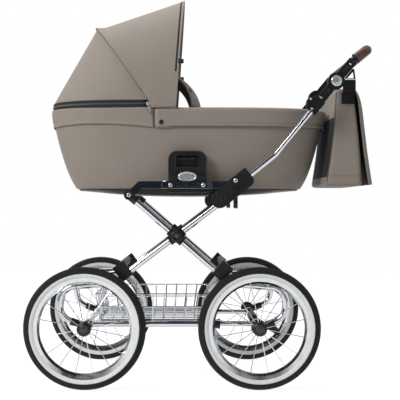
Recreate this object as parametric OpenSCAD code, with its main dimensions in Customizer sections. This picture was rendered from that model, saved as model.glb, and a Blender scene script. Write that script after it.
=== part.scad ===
// Bassinet pram on a folding X-frame with C-spring legs.
// The origin is on the floor, midway between the axles and between the wheels.
// +X points to the handle, +Z up, Y across. Sizes in millimetres.

/* [Wheels] */
// Outer diameter of a wheel
wheel_d = 355; // [340:1:365]
// Distance between the two axles
wheelbase = 505; // [500:1:520]
// Width of a tyre
tyre_w = 38; // [34:1:40]
// Depth of a tyre from tread to rim
tyre_depth = 30.5; // [29:0.5:33]
// Depth of the chrome rim
rim_depth = 17; // [14:0.5:20]
// Diameter of a spoke
spoke_d = 2.6; // [2:0.1:3.2]
// Number of spokes in a wheel
spoke_count = 16; // [12:2:20]
// Length of a hub
hub_len = 46; // [44:1:47]
// Diameter of a hub's flanges and cap
hub_cap_d = 41; // [38:1:44]
// Diameter of the axles
axle_d = 16; // [12:1:18]

/* [Legs] */
// Diameter of the leg tubes
leg_d = 19; // [17:0.5:20]
// Distance from the tub's rim to the plane of the front legs
tub_to_leg = 21; // [20:0.5:24]
// Distance between the planes of the front and rear legs
leg_spacing = 25; // [24:0.5:28]
// Place of the cross pivot along the pram
cross_x = 12; // [0:1:20]
// Height of the cross pivot
cross_z = 443; // [438:1:450]
// Slope of the rear legs
rear_leg_slope = 41; // [40:0.5:42]
// Slope of the front legs
front_leg_slope = 37; // [36:0.5:38]
// Length of a rear leg above the cross pivot
rear_leg_top = 183; // [178:1:188]
// Length of a front leg above the cross pivot
front_leg_top = 172; // [168:1:174]
// Distance from the axle to the kick where the spring starts
spring_kick = 80; // [74:1:86]
// How far a C-spring reaches past its axle
spring_out = 76; // [72:1:84]
// Height of the top of the C-springs
spring_top_z = 290; // [284:1:296]
// Bend radius of the C-springs
spring_bend = 45; // [40:1:46]
// Diameter of the cross-members
cross_bar_d = 22; // [18:1:24]

/* [Rails and basket] */
// Diameter of the front rails
front_rail_d = 20; // [19:0.5:22]
// Diameter of the rear rails that slide in the front rails
rear_rail_d = 16; // [14:0.5:16]
// Distance of the rails from the middle
rail_y = 170; // [160:1:180]
// Length of a front rail from its axle
front_rail_len = 385; // [360:1:395]
// Length of a rear rail from its axle
rear_rail_len = 390; // [370:1:410]
// Diameter of the rail sleeves
sleeve_d = 27; // [26:1:30]
// Length of the rail sleeves
sleeve_len = 36; // [30:1:40]
// Length of the basket
basket_len = 346; // [320:1:350]
// Width of the basket
basket_w = 370; // [350:1:380]
// Height of the basket
basket_h = 80; // [70:1:81]
// Diameter of the basket's wires
wire_d = 4; // [3:0.5:5]
// Number of wires along the basket's side
basket_wires = 10; // [8:1:12]

/* [Seat bars and housings] */
// Height of the flat seat bars
seat_bar_h = 21; // [19:1:23]
// Thickness of the flat seat bars
seat_bar_t = 6; // [5:0.5:7]
// Height of the middle of the seat bars
seat_bar_z = 593.5; // [591:0.5:596]
// Where the seat bars end in the housings
seat_bar_end = 165; // [158:1:170]
// Width of a fold housing
housing_w = 53; // [50:1:55]
// Length of a fold housing
housing_len = 116; // [112:1:120]
// Slope of a fold housing
housing_slope = 38.6; // [38:0.2:39.4]
// Thickness of a housing plate
housing_plate = 3; // [2:0.5:3.5]
// Length of a fold lever
lever_len = 80; // [70:1:90]
// Width of a fold lever
lever_w = 13; // [11:1:15]

/* [Handle] */
// Diameter of the push tubes
push_tube_d = 16; // [14:0.5:17]
// Place of the handle's tilt pivot along the pram
tilt_x = 482; // [480:1:484]
// Height of the handle's tilt pivot
tilt_z = 898; // [894:1:900]
// Diameter of a pivot housing
tilt_housing_d = 49; // [46:1:52]
// Width of the black arms
arm_w = 26; // [24:1:28]
// Thickness of the black arms
arm_t = 18; // [16:1:20]
// Length of the tilting arms from pivot to grip
upper_arm_len = 79; // [74:1:84]
// Slope of the leather grip
grip_slope = 38; // [34:1:42]
// Diameter of the leather grip
grip_d = 30; // [28:1:33]
// Diameter of the bar inside the grip
grip_bar_d = 22; // [18:1:23]
// Length of the grip's side before the cross part
grip_reach = 60; // [56:1:64]

/* [Bassinet] */
// Length of the bassinet at its rim
bassinet_len = 847; // [840:1:848]
// Width of the bassinet at its rim
bassinet_w = 410; // [400:1:420]
// Front end of the bassinet along the pram
bassinet_front = -375; // [-378:1:-373]
// Height of the bassinet's rim
rim_z = 819; // [817:1:821]
// Height of the bottom of the fabric shell
shell_z = 582; // [581:0.5:584]
// Thickness of the shell's wall
shell_wall = 12; // [10:1:14]
// Depth of the black base at its middle
base_h = 20.5; // [18:0.5:21]
// Width of a carry bracket
bracket_w = 111; // [105:1:115]
// Height of a carry bracket
bracket_h = 91; // [88:1:93]
// Width of the hand slot
slot_w = 65; // [60:1:70]
// Height of the hand slot
slot_h = 34; // [32:1:36]
// Thickness of the mattress
mattress_h = 48; // [40:1:54]

/* [Hood and apron] */
// Place of the hood's pivot along the pram
hood_x = -60; // [-62:1:-58]
// Height of the hood's pivot
hood_z = 834; // [833:1:836]
// Reach of the hood at its rear bow
hood_rear_r = 326; // [324:1:330]
// Reach of the hood at its front bow
hood_front_r = 345; // [342:1:350]
// Thickness of the hood's fabric with lining
hood_t = 4; // [3:0.5:4.5]
// Height of the apron's skirt
skirt_h = 51; // [46:1:56]
// Thickness of the apron
apron_t = 3.5; // [3:0.5:4]
// Where the wind flap starts on the apron
flap_x = 82; // [80:1:84]
// Bend radius of the wind flap
flap_r = 125; // [120:1:130]
// Width of the wind flap at its hinge
flap_w = 330; // [310:1:340]
// Thickness of the wind flap
flap_t = 5; // [4:0.5:6]

/* [Bag] */
// Width of the bag across the pram
bag_w = 360; // [340:1:370]
// Height of the bag
bag_h = 291; // [280:1:295]
// Thickness of the bag at its top
bag_top_t = 60; // [54:1:62]
// Thickness of the bag at its bottom
bag_bottom_t = 150; // [140:1:152]

/* [Clearances] */
// Radial running clearance of a pin in its bore
run_gap = 0.05; // [0.02:0.01:0.08]
// Gap between pieces that rest on each other
rest_gap = 0.3; // [0.2:0.05:0.5]
// Radial clearance of the telescoping rails
rail_gap = 0.8; // [0.7:0.05:1]

/* [Hidden] */
$fn = 48;

chrome = [0.78, 0.79, 0.81];
black = [0.1, 0.105, 0.11];
taupe = [0.54, 0.5, 0.46];
leather = [0.29, 0.17, 0.12];
rubber = [0.17, 0.175, 0.18];

axle_x = wheelbase / 2;
axle_z = wheel_d / 2;
axle_r = axle_d / 2;
leg_r = leg_d / 2;
inner_leg_y = bassinet_w / 2 + tub_to_leg;
outer_leg_y = inner_leg_y + leg_spacing;
// Wheels stand just outside the rear legs' axle brackets
socket_wall = 1.2;
hub_gap = 0.3;
wheel_y = outer_leg_y + leg_r + socket_wall + hub_gap + hub_len / 2;
rear_top = [cross_x - rear_leg_top * cos(rear_leg_slope),
  cross_z + rear_leg_top * sin(rear_leg_slope)];
front_top = [cross_x + front_leg_top * cos(front_leg_slope),
  cross_z + front_leg_top * sin(front_leg_slope)];

// Planar tubes: points in a plane, one bend radius for each inner corner
function heading(a, b) = atan2(b.y - a.y, b.x - a.x);
function wrapped(a) = a > 180 ? a - 360 : (a < -180 ? a + 360 : a);
function turn_at(p, i) = wrapped(heading(p[i], p[i + 1]) - heading(p[i - 1], p[i]));
function along(p, angle, d) = p + d * [cos(angle), sin(angle)];

module straight_run(a, b, r, bore) {
  translate([a.x, a.y, 0])
    rotate([0, 0, heading(a, b)])
      rotate([0, 90, 0])
        difference() {
          cylinder(r = r, h = norm(b - a));
          if (bore > 0) translate([0, 0, -1]) cylinder(r = bore, h = norm(b - a) + 2);
        }
}

module bent_run(corner, from_angle, turn, bend, r, bore, short) {
  trim = bend * tan(abs(turn) / 2);
  start = along(corner, from_angle, -trim);
  side = turn > 0 ? 1 : -1;
  centre = along(start, from_angle + 90 * side, bend);
  first = turn > 0 ? from_angle - 90 : from_angle + 90 + turn;
  lost = short / bend * 180 / PI;
  translate([centre.x, centre.y, 0])
    rotate([0, 0, first + lost])
      rotate_extrude(angle = abs(turn) - 2 * lost)
        translate([bend, 0])
          difference() {
            circle(r = r);
            if (bore > 0) circle(r = bore);
          }
}

// Each bend ends in a thin swage bead that joins it to the straight run
bead_proud = 0.15;
bead_len = 3;
bead_inset = 0.6;
module bend_bead(p, angle, r)
  straight_run(along(p, angle, -bead_len / 2), along(p, angle, bead_len / 2), r + bead_proud, 0);

module planar_tube(p, bends, r, bore = 0, beads = true) {
  last = len(p) - 1;
  short = beads ? bead_inset : 0;
  trims = [for (i = [0:last])
    (i == 0 || i == last) ? 0 : bends[i - 1] * tan(abs(turn_at(p, i)) / 2) + short];
  for (i = [0:last - 1]) {
    angle = heading(p[i], p[i + 1]);
    straight_run(along(p[i], angle, trims[i]), along(p[i + 1], angle, -trims[i + 1]), r, bore);
    if (beads && i > 0) bend_bead(along(p[i], angle, trims[i] - short), angle, r);
    if (beads && i < last - 1) bend_bead(along(p[i + 1], angle, short - trims[i + 1]), angle, r);
  }
  for (i = [1:last - 1])
    bent_run(p[i], heading(p[i - 1], p[i]), turn_at(p, i), bends[i - 1], r, bore, short);
}

// Stands a drawing in the X-Z plane at a distance y from the middle, thick to both sides
module upright(y) {
  translate([0, y, 0]) rotate([90, 0, 0]) children();
}

// A flat plate in the X-Z plane between two distances from the middle
module plate(y0, y1) {
  translate([0, y1, 0]) rotate([90, 0, 0]) linear_extrude(y1 - y0) children();
}

module both_sides() {
  children();
  mirror([0, 1, 0]) children();
}

// A pin along Y at a point of the X-Z plane
module cross_pin(p, y0, y1, r) {
  translate([p.x, y0, p.y]) rotate([-90, 0, 0]) cylinder(r = r, h = y1 - y0);
}

// Lofts: closed rings of equal count, with a fan at each end
ring_n = 48;
function ring_centre(ring) = [
  sum_of([for (p = ring) p.x]) / len(ring), sum_of([for (p = ring) p.y]) / len(ring),
  sum_of([for (p = ring) p.z]) / len(ring)
];
function sum_of(v, i = 0) = i == len(v) ? 0 : v[i] + sum_of(v, i + 1);
function signed_pow(v, e) = sign(v) * pow(abs(v), e);

// A rounded oblong ring at height z, from x0 to x1 and half as wide as w
function oblong(x0, x1, half_w, z, squareness = 3.2) = [
  for (i = [0:ring_n - 1])
    let (a = 360 * i / ring_n)
      [(x0 + x1) / 2 + (x1 - x0) / 2 * signed_pow(cos(a), 2 / squareness),
       half_w * signed_pow(sin(a), 2 / squareness), z]
];

module loft(rings) {
  n = len(rings[0]);
  m = len(rings);
  points = concat([for (ring = rings) each ring], [ring_centre(rings[0]), ring_centre(rings[m - 1])]);
  sides = [for (i = [0:m - 2], j = [0:n - 1]) let (k = (j + 1) % n)
    each [[i * n + j, (i + 1) * n + j, (i + 1) * n + k], [i * n + j, (i + 1) * n + k, i * n + k]]];
  first_cap = [for (j = [0:n - 1]) [m * n, j, (j + 1) % n]];
  last_cap = [for (j = [0:n - 1]) [m * n + 1, (m - 1) * n + (j + 1) % n, (m - 1) * n + j]];
  polyhedron(points, concat(sides, first_cap, last_cap), convexity = 8);
}

// A sheet with a thickness: rows of outer points and rows of inner points
module sheet(outer, inner) {
  m = len(outer);
  n = len(outer[0]);
  half = m * n;
  function at(i, j) = i * n + j;
  points = concat([for (row = outer) each row], [for (row = inner) each row]);
  skin = [for (i = [0:m - 2], j = [0:n - 2])
    each [[at(i, j), at(i + 1, j), at(i + 1, j + 1)], [at(i, j), at(i + 1, j + 1), at(i, j + 1)]]];
  lining = [for (f = skin) [half + f[2], half + f[1], half + f[0]]];
  function strip(a, b) = [[a, b, half + b], [a, half + b, half + a]];
  edges = concat(
    [for (i = [0:m - 2]) each strip(at(i + 1, 0), at(i, 0))],
    [for (i = [0:m - 2]) each strip(at(i, n - 1), at(i + 1, n - 1))],
    [for (j = [0:n - 2]) each strip(at(0, j), at(0, j + 1))],
    [for (j = [0:n - 2]) each strip(at(m - 1, j + 1), at(m - 1, j))]);
  polyhedron(points, concat(skin, lining, edges), convexity = 8);
}

// Legs with their C-springs
spring_low_z = axle_z + 27;
socket_gap = axle_r + 6;
function leg_path(top, slope, way) = [
  top,
  [way * (axle_x - spring_kick),
   cross_z - (axle_x - spring_kick - way * cross_x) * tan(slope)],
  [way * (axle_x + spring_out), spring_top_z],
  [way * (axle_x + spring_out + 2), spring_low_z],
  [way * (axle_x + socket_gap), axle_z + 3]
];
kick_bend = 60;
leg_bends = [kick_bend, spring_bend, spring_bend];
rear_path = leg_path(rear_top, rear_leg_slope, 1);
front_path = leg_path(front_top, front_leg_slope, -1);
saddle_len = 52;
saddle_h = leg_d + 9;
foot_socket_len = 34;

// The straight upper part of a leg, and the straight end in its axle bracket
module leg_upper(path, y)
  upright(y) straight_run(path[0], along(path[1], heading(path[1], path[0]), 21.5), leg_r, 0);
module leg_foot(path, y)
  upright(y) straight_run(path[4], along(path[4], heading(path[4], path[3]), foot_socket_len + 1.5),
    leg_r, 0);

module rear_legs() color(chrome)
  both_sides() upright(outer_leg_y) planar_tube(rear_path, leg_bends, leg_r);

module front_legs() color(chrome)
  both_sides() upright(inner_leg_y) planar_tube(front_path, leg_bends, leg_r);

// Top joint: a moulded cap on the end of each rear leg, with the hinge pin of the seat bar
top_pin_r = 6;
cap_r = leg_r + 3;
cap_back = 30;
seat_bar_y0 = inner_leg_y - seat_bar_t / 2;
seat_bar_y1 = inner_leg_y + seat_bar_t / 2;
module leg_top_joints() color(black)
  both_sides() {
    difference() {
      union() {
        upright(outer_leg_y)
          straight_run(along(rear_top, -rear_leg_slope, cap_back),
            along(rear_top, 180 - rear_leg_slope, 2), cap_r, 0);
        cross_pin(rear_top, seat_bar_y1 + 4, outer_leg_y + cap_r + 1.5, cap_r + 2);
      }
      leg_upper(rear_path, outer_leg_y);
    }
    cross_pin(rear_top, seat_bar_y0 - 3, seat_bar_y1 + 4, top_pin_r);
    cross_pin(rear_top, seat_bar_y0 - 5, seat_bar_y0 - rest_gap, top_pin_r + 4);
  }

// Flat seat bar: an eye round the hinge pin, a sloping neck and the long bar
seat_bar_start = rear_top.x + 31;
eye_r = 13;
module seat_bar_outline() {
  neck_end = [seat_bar_start, seat_bar_z];
  angle = heading(rear_top, neck_end);
  difference() {
    union() {
      translate(rear_top) circle(r = eye_r);
      translate(rear_top) rotate(angle) translate([0, -seat_bar_h / 2])
        square([norm(neck_end - rear_top), seat_bar_h]);
      translate(neck_end) circle(r = seat_bar_h / 2);
      translate([seat_bar_start, seat_bar_z - seat_bar_h / 2])
        square([seat_bar_end - seat_bar_start, seat_bar_h]);
    }
    translate(rear_top) circle(r = top_pin_r + run_gap);
  }
}
module seat_bars() color(chrome)
  both_sides() plate(seat_bar_y0, seat_bar_y1) seat_bar_outline();

// Sockets behind the seat bars that carry the bassinet's brackets
bracket_mid = 44.5;
bracket_z0 = seat_bar_z + 8.5;
bracket_y0 = bassinet_w / 2 - 10.7;
socket_y0 = bracket_y0 + 4;
socket_drop = 30;
module bassinet_sockets() color(black)
  both_sides()
    translate([bracket_mid - bracket_w / 2 - 3, socket_y0, bracket_z0 - rest_gap - socket_drop])
      cube([bracket_w + 6, seat_bar_y0 - socket_y0, socket_drop]);

// Axles, brackets and cross-members
axle_half = wheel_y + hub_len / 2 - 7.5;
module axle(x) color(chrome)
  cross_pin([x, axle_z], -axle_half, axle_half, axle_r);
module rear_axle() axle(axle_x);
module front_axle() axle(-axle_x);

bracket_len = leg_d + 1;
module axle_brackets(way, y, path) color(black)
  both_sides()
    difference() {
      union() {
        cross_pin([way * axle_x, axle_z], y - bracket_len / 2, y + bracket_len / 2, axle_r + 8);
        upright(y) straight_run(along(path[4], heading(path[4], path[3]), foot_socket_len),
          along(path[4], heading(path[4], path[3]), -4), leg_r + socket_wall, 0);
      }
      cross_pin([way * axle_x, axle_z], y - bracket_len, y + bracket_len, axle_r);
      leg_foot(path, y);
    }
module rear_axle_brackets() axle_brackets(1, outer_leg_y, rear_path);
module front_axle_brackets() axle_brackets(-1, inner_leg_y, front_path);

cross_bar_rise = 26;
clamp_len = 40;
clamp_up = 43;
clamp_under = leg_r + 4;
module cross_member(path, y) color(black) {
  slope = heading(path[1], path[0]);
  middle = along(path[1], slope, clamp_up);
  side = path[0].x < path[1].x ? -90 : 90;
  bar = along(middle, slope + side, cross_bar_rise);
  difference() {
    union() {
      cross_pin(bar, -y, y, cross_bar_d / 2);
      both_sides()
        plate(y - leg_r - 3, y + leg_r + 2)
          translate(middle) rotate(slope + side - 90)
            translate([-clamp_len / 2, -clamp_under])
              square([clamp_len, clamp_under + cross_bar_rise + cross_bar_d / 2]);
    }
    both_sides() leg_upper(path, y);
  }
}
module rear_cross_member() cross_member(rear_path, outer_leg_y);
module front_cross_member() cross_member(front_path, inner_leg_y);

// Cross pivot: a moulded saddle on each leg and a bolt through both
pivot_r = 5;
saddle_meet = (outer_leg_y + inner_leg_y) / 2;
module saddle(slope, y0, y1)
  difference() {
    union() {
      translate([cross_x, y0, cross_z]) rotate([0, slope, 0])
        translate([-saddle_len / 2, 0, -saddle_h / 2]) cube([saddle_len, y1 - y0, saddle_h]);
      cross_pin([cross_x, cross_z], y0, y1, saddle_h / 2 + 5);
    }
    children();
  }
module outer_pivot_saddles() color(black)
  both_sides()
    saddle(rear_leg_slope, saddle_meet + rest_gap, outer_leg_y + leg_r + 2) {
      union() {
        leg_upper(rear_path, outer_leg_y);
        cross_pin([cross_x, cross_z], saddle_meet, outer_leg_y + leg_r + 3, pivot_r);
      }
    }
module inner_pivot_saddles() color(black)
  both_sides()
    saddle(-front_leg_slope, inner_leg_y - leg_r - 2, saddle_meet - rest_gap) {
      union() {
        leg_upper(front_path, inner_leg_y);
        cross_pin([cross_x, cross_z], inner_leg_y - leg_r - 3, saddle_meet, pivot_r + run_gap);
      }
    }
bolt_head_r = 9;
bolt_y1 = outer_leg_y + leg_r + 2;
bolt_stop = inner_leg_y + leg_r + rest_gap;
module cross_pivot_bolts() color(chrome)
  both_sides() {
    cross_pin([cross_x, cross_z], bolt_y1, bolt_y1 + 4, bolt_head_r);
    cross_pin([cross_x, cross_z], outer_leg_y + leg_r, bolt_y1, pivot_r);
    cross_pin([cross_x, cross_z], bolt_stop, outer_leg_y - leg_r, pivot_r);
  }

// Rails: the rear rail slides inside the front rail, each with an eye on its axle
rail_eye_r = axle_r + 6;
rail_eye_w = 24;
module rail_eye(x)
  cross_pin([x, axle_z], rail_y - rail_eye_w / 2, rail_y + rail_eye_w / 2, rail_eye_r);
module rail_axle_bore(x)
  cross_pin([x, axle_z], rail_y - rail_eye_w, rail_y + rail_eye_w, axle_r + run_gap);
rail_end = -axle_x + front_rail_len;
rail_bore_r = rear_rail_d / 2 + rail_gap;
module rail_run(x0, x1, r)
  translate([x0, rail_y, axle_z]) rotate([0, 90, 0]) cylinder(r = r, h = x1 - x0);
module front_rails() color(chrome)
  both_sides()
    difference() {
      union() {
        rail_eye(-axle_x);
        rail_run(-axle_x, rail_end, front_rail_d / 2);
      }
      rail_axle_bore(-axle_x);
      rail_run(-axle_x + rail_eye_r + 4, rail_end + 1, rail_bore_r);
    }
module rear_rails() color(chrome)
  both_sides()
    difference() {
      union() {
        rail_eye(axle_x);
        rail_run(axle_x - rear_rail_len, axle_x, rear_rail_d / 2);
      }
      rail_axle_bore(axle_x);
    }
sleeve_flange = 5;
module rail_sleeves() color(black)
  both_sides()
    difference() {
      union() {
        rail_run(rail_end - sleeve_len + 10, rail_end + 10, sleeve_d / 2);
        rail_run(rail_end + 10 - sleeve_flange, rail_end + 10, sleeve_d / 2 + 2);
      }
      rail_run(rail_end - sleeve_len, rail_end, front_rail_d / 2);
      rail_run(rail_end - 1, rail_end + 11, rail_bore_r);
    }

// Basket of round wire on the front rails
wire_r = wire_d / 2;
basket_x0 = -axle_x + 21;
basket_x1 = basket_x0 + basket_len;
basket_z0 = axle_z + front_rail_d / 2 + wire_r + rest_gap;
basket_rows = 7;
basket_taper = 14;
module wire(a, b)
  translate(a)
    rotate([0, acos((b.z - a.z) / norm(b - a)), atan2(b.y - a.y, b.x - a.x)])
      cylinder(r = wire_r, h = norm(b - a), $fn = 8);
module wire_loop(z, inset) {
  x0 = basket_x0 + wire_r + inset;
  x1 = basket_x1 - wire_r - inset;
  y = basket_w / 2 - wire_r - inset;
  reach = wire_r * 0.9;
  for (s = [-1, 1]) {
    wire([x0 - reach, s * y, z], [x1 + reach, s * y, z]);
    wire([s < 0 ? x0 : x1, -y - reach, z], [s < 0 ? x0 : x1, y + reach, z]);
  }
}
module basket() color(chrome)
  union() {
    top = basket_z0 + basket_h - wire_r;
    wire_loop(basket_z0, basket_taper);
    wire_loop((basket_z0 + top) / 2, basket_taper / 2);
    wire_loop(top, 0);
    inner_len = basket_len - 2 * wire_r - 2 * basket_taper;
    inner_w = basket_w - 2 * wire_r - 2 * basket_taper;
    for (i = [0:basket_wires]) {
      x = basket_x0 + wire_r + basket_taper + inner_len * i / basket_wires;
      spread = 1 + 2 * basket_taper / inner_len;
      x_top = (x - (basket_x0 + basket_x1) / 2) * spread + (basket_x0 + basket_x1) / 2;
      wire([x, -inner_w / 2, basket_z0], [x, inner_w / 2, basket_z0]);
      for (s = [-1, 1])
        wire([x, s * inner_w / 2, basket_z0], [x_top, s * (inner_w / 2 + basket_taper), top]);
    }
    for (i = [1:basket_rows - 1]) {
      y = -inner_w / 2 + inner_w * i / basket_rows;
      y_top = y * (1 + 2 * basket_taper / inner_w);
      low_0 = [basket_x0 + wire_r + basket_taper, y, basket_z0];
      low_1 = [basket_x1 - wire_r - basket_taper, y, basket_z0];
      wire(low_0, low_1);
      wire(low_0, [basket_x0 + wire_r, y_top, top]);
      wire(low_1, [basket_x1 - wire_r, y_top, top]);
    }
  }

// Wheels, drawn round the axle with their outer side up, then stood at a corner
rim_r = axle_z - tyre_depth;
rim_inner_r = rim_r - rim_depth;
tyre_seat_gap = 0.2;
module at_corner(way, side)
  translate([way * axle_x, side * wheel_y, axle_z]) rotate([side < 0 ? 90 : -90, 0, 0]) children();
module tyre(way, side) color(rubber)
  at_corner(way, side)
    rotate_extrude()
      intersection() {
        translate([axle_z - tyre_w / 2, 0]) circle(d = tyre_w);
        translate([rim_r, -tyre_w]) square([tyre_depth + 1, 2 * tyre_w]);
      }
rim_flange_w = 26;
rim_well_w = 10;
module rim(way, side) color(chrome)
  at_corner(way, side)
    rotate_extrude()
      polygon([
        [rim_inner_r, -rim_well_w / 2], [rim_inner_r + 6, -rim_flange_w / 2 + 1],
        [rim_r - tyre_seat_gap, -rim_flange_w / 2], [rim_r - tyre_seat_gap, rim_flange_w / 2],
        [rim_inner_r + 6, rim_flange_w / 2 - 1], [rim_inner_r, rim_well_w / 2]
      ]);
flange_z = 13;
flange_t = 4;
spoke_seat = 2;
flange_r = hub_cap_d / 2 - 1.5;
module spokes(way, side) color(chrome)
  at_corner(way, side)
    for (i = [0:spoke_count - 1]) {
      lift = (i % 2 == 0 ? 1 : -1) * flange_z;
      from_r = flange_r - spoke_seat;
      run = rim_inner_r + spoke_seat - from_r;
      rotate([0, 0, (i + 0.5) * 360 / spoke_count])
        translate([from_r, 0, lift])
          rotate([0, 90 + atan2(lift, run), 0])
            cylinder(d = spoke_d, h = norm([run, lift]), $fn = 8);
    }
hub_barrel_r = axle_r + 5;
hub_gear_r = hub_cap_d / 2 + 2;
hub_gear_t = 6;
gear_teeth = 16;
module hub(way, side) color(black)
  at_corner(way, side)
    difference() {
      union() {
        translate([0, 0, -hub_len / 2 + rest_gap]) cylinder(r = hub_barrel_r, h = hub_len - 4);
        for (s = [-1, 1])
          translate([0, 0, s * flange_z - flange_t / 2]) cylinder(r = flange_r, h = flange_t);
        translate([0, 0, hub_len / 2 - 7]) cylinder(d = hub_cap_d, h = 7);
        translate([0, 0, hub_len / 2]) cylinder(r1 = hub_cap_d / 2, r2 = hub_cap_d / 2 - 7, h = 4);
        if (way > 0)
          translate([0, 0, -hub_len / 2 + rest_gap]) cylinder(r = hub_gear_r, h = hub_gear_t);
      }
      translate([0, 0, -hub_len / 2 - 1]) cylinder(r = axle_r + run_gap, h = hub_len - 6);
      if (way > 0)
        for (i = [0:gear_teeth - 1])
          rotate([0, 0, i * 360 / gear_teeth])
            translate([hub_gear_r - 3, -2, -hub_len / 2 - 1])
              cube([6, 4, hub_gear_t + 1]);
    }
module tyre_front_left() tyre(-1, -1);
module rim_front_left() rim(-1, -1);
module spokes_front_left() spokes(-1, -1);
module hub_front_left() hub(-1, -1);
module tyre_front_right() tyre(-1, 1);
module rim_front_right() rim(-1, 1);
module spokes_front_right() spokes(-1, 1);
module hub_front_right() hub(-1, 1);
module tyre_rear_left() tyre(1, -1);
module rim_rear_left() rim(1, -1);
module spokes_rear_left() spokes(1, -1);
module hub_rear_left() hub(1, -1);
module tyre_rear_right() tyre(1, 1);
module rim_rear_right() rim(1, 1);
module spokes_rear_right() spokes(1, 1);
module hub_rear_right() hub(1, 1);

// Fold housings: two plates with blocks that hold the front leg's end and the push tube's end
housing_start = front_top + [-9.4, 4.5];
housing_half = leg_r + 1;
push_tube_r = push_tube_d / 2;
push_start = along(housing_start, housing_slope, 62);
push_corner = along(housing_start, housing_slope, 209);
tilt = [tilt_x, tilt_z];
push_path = [push_start, push_corner, tilt];
push_bend = 90;
upper_slope = heading(push_corner, tilt);
module in_housing()
  translate(housing_start) rotate(housing_slope) children();
end_corner_r = 18;
module housing_outline() {
  translate(housing_start) circle(d = housing_w);
  in_housing() {
    translate([0, -housing_w / 2]) square([housing_len - end_corner_r, housing_w]);
    translate([0, -housing_w / 2 + end_corner_r]) square([housing_len, housing_w - end_corner_r]);
    translate([housing_len - end_corner_r, -housing_w / 2 + end_corner_r]) circle(r = end_corner_r);
  }
}
// The inner plate also has a lobe that stands out behind the leg
lobe_shift = 8;
module lobe_outline()
  translate(along(housing_start, 180, lobe_shift)) circle(d = housing_w + 3);
lever_pin = along(housing_start, housing_slope, 67) + [-6.7, 13.2];
lever_pin_r = 4;
lever_y0 = inner_leg_y + housing_half + housing_plate + rest_gap;
lever_t = 3;
module fold_housings() color(black)
  both_sides() {
    difference() {
      union() {
        plate(inner_leg_y + housing_half, inner_leg_y + housing_half + housing_plate) housing_outline();
        plate(inner_leg_y - housing_half - housing_plate, inner_leg_y - housing_half) {
          housing_outline();
          lobe_outline();
        }
        plate(inner_leg_y - housing_half, inner_leg_y + housing_half) {
          in_housing() translate([-14, -leg_d]) square([36, leg_d + 5]);
          in_housing() translate([62, -housing_w / 2 + 3]) square([housing_len - 82, housing_w / 2 + 13]);
        }
      }
      leg_upper(front_path, inner_leg_y);
      upright(inner_leg_y) straight_run(push_start, push_corner, push_tube_r, 0);
    }
    cross_pin(lever_pin, lever_y0 - rest_gap, lever_y0 + lever_t + rest_gap, lever_pin_r);
    cross_pin(lever_pin, lever_y0 + lever_t + rest_gap, lever_y0 + lever_t + 2, lever_pin_r + 2);
  }
module fold_lever(side) color(chrome)
  mirror([0, side < 0 ? 1 : 0, 0])
    plate(lever_y0, lever_y0 + lever_t)
      difference() {
        union() {
          translate(lever_pin) circle(d = lever_w);
          translate(lever_pin - [lever_w / 2, lever_len]) square([lever_w, lever_len]);
        }
        translate(lever_pin) circle(r = lever_pin_r + run_gap);
      }
module fold_lever_left() fold_lever(-1);
module fold_lever_right() fold_lever(1);

// Push tubes, collars and lower arms up to the tilt pivot
collar_back = 115;
collar_len = 44;
arm_start = 96;
push_end = along(tilt, upper_slope, -arm_start);
module push_tubes() color(chrome)
  both_sides()
    upright(inner_leg_y) planar_tube([push_start, push_corner, push_end], [push_bend], push_tube_r);
module on_upper_run(d)
  translate([along(tilt, upper_slope, d).x, inner_leg_y, along(tilt, upper_slope, d).y])
    rotate([0, -upper_slope, 0]) children();
collar_w = 36;
collar_t = 28;
module handle_collars() color(black)
  both_sides()
    difference() {
      union() {
        on_upper_run(-collar_back) translate([0, -collar_t / 2, -collar_w / 2 + 2])
          cube([collar_len, collar_t, collar_w]);
        on_upper_run(-collar_back + collar_len / 2) translate([0, collar_t / 2, 14])
          rotate([90, 0, 0]) cylinder(r = 17, h = collar_t);
      }
      upright(inner_leg_y) straight_run(push_corner, push_end, push_tube_r, 0);
      on_upper_run(-arm_start) translate([0, -arm_t / 2, -arm_w / 2]) cube([arm_start, arm_t, arm_w]);
    }
tilt_r = tilt_housing_d / 2;
tilt_half = 15;
tilt_gap_y = inner_leg_y - 1;
button_r = 16;
button_travel = 3;
// Outer half of the tilt joint, fixed to the arm; the tilting half turns inside it
module tilt_housings() color(black)
  both_sides()
    difference() {
      union() {
        cross_pin(tilt, inner_leg_y, inner_leg_y + tilt_half, tilt_r);
        cross_pin(tilt, inner_leg_y - tilt_half - 4, inner_leg_y, tilt_pin_r);
        cross_pin(tilt, inner_leg_y - tilt_half - 14, inner_leg_y - tilt_half - 4, hook_pin_r);
      }
      cross_pin(tilt, inner_leg_y + tilt_half - 7, inner_leg_y + tilt_half + 1, button_r + run_gap);
    }
tilt_pin_r = 9;
hook_pin_r = 7;
module handle_arms() color(black)
  both_sides()
    difference() {
      on_upper_run(-arm_start) translate([0, -arm_t / 2, -arm_w / 2]) cube([arm_start, arm_t, arm_w]);
      cross_pin(tilt, inner_leg_y - arm_t, inner_leg_y + arm_t, tilt_r + 0.2);
    }
module tilt_button(side) color(chrome)
  mirror([0, side < 0 ? 1 : 0, 0])
    cross_pin(tilt, inner_leg_y + tilt_half - 7 + button_travel + rest_gap,
      inner_leg_y + tilt_half + 3, button_r);
module tilt_button_left() tilt_button(-1);
module tilt_button_right() tilt_button(1);

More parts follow.
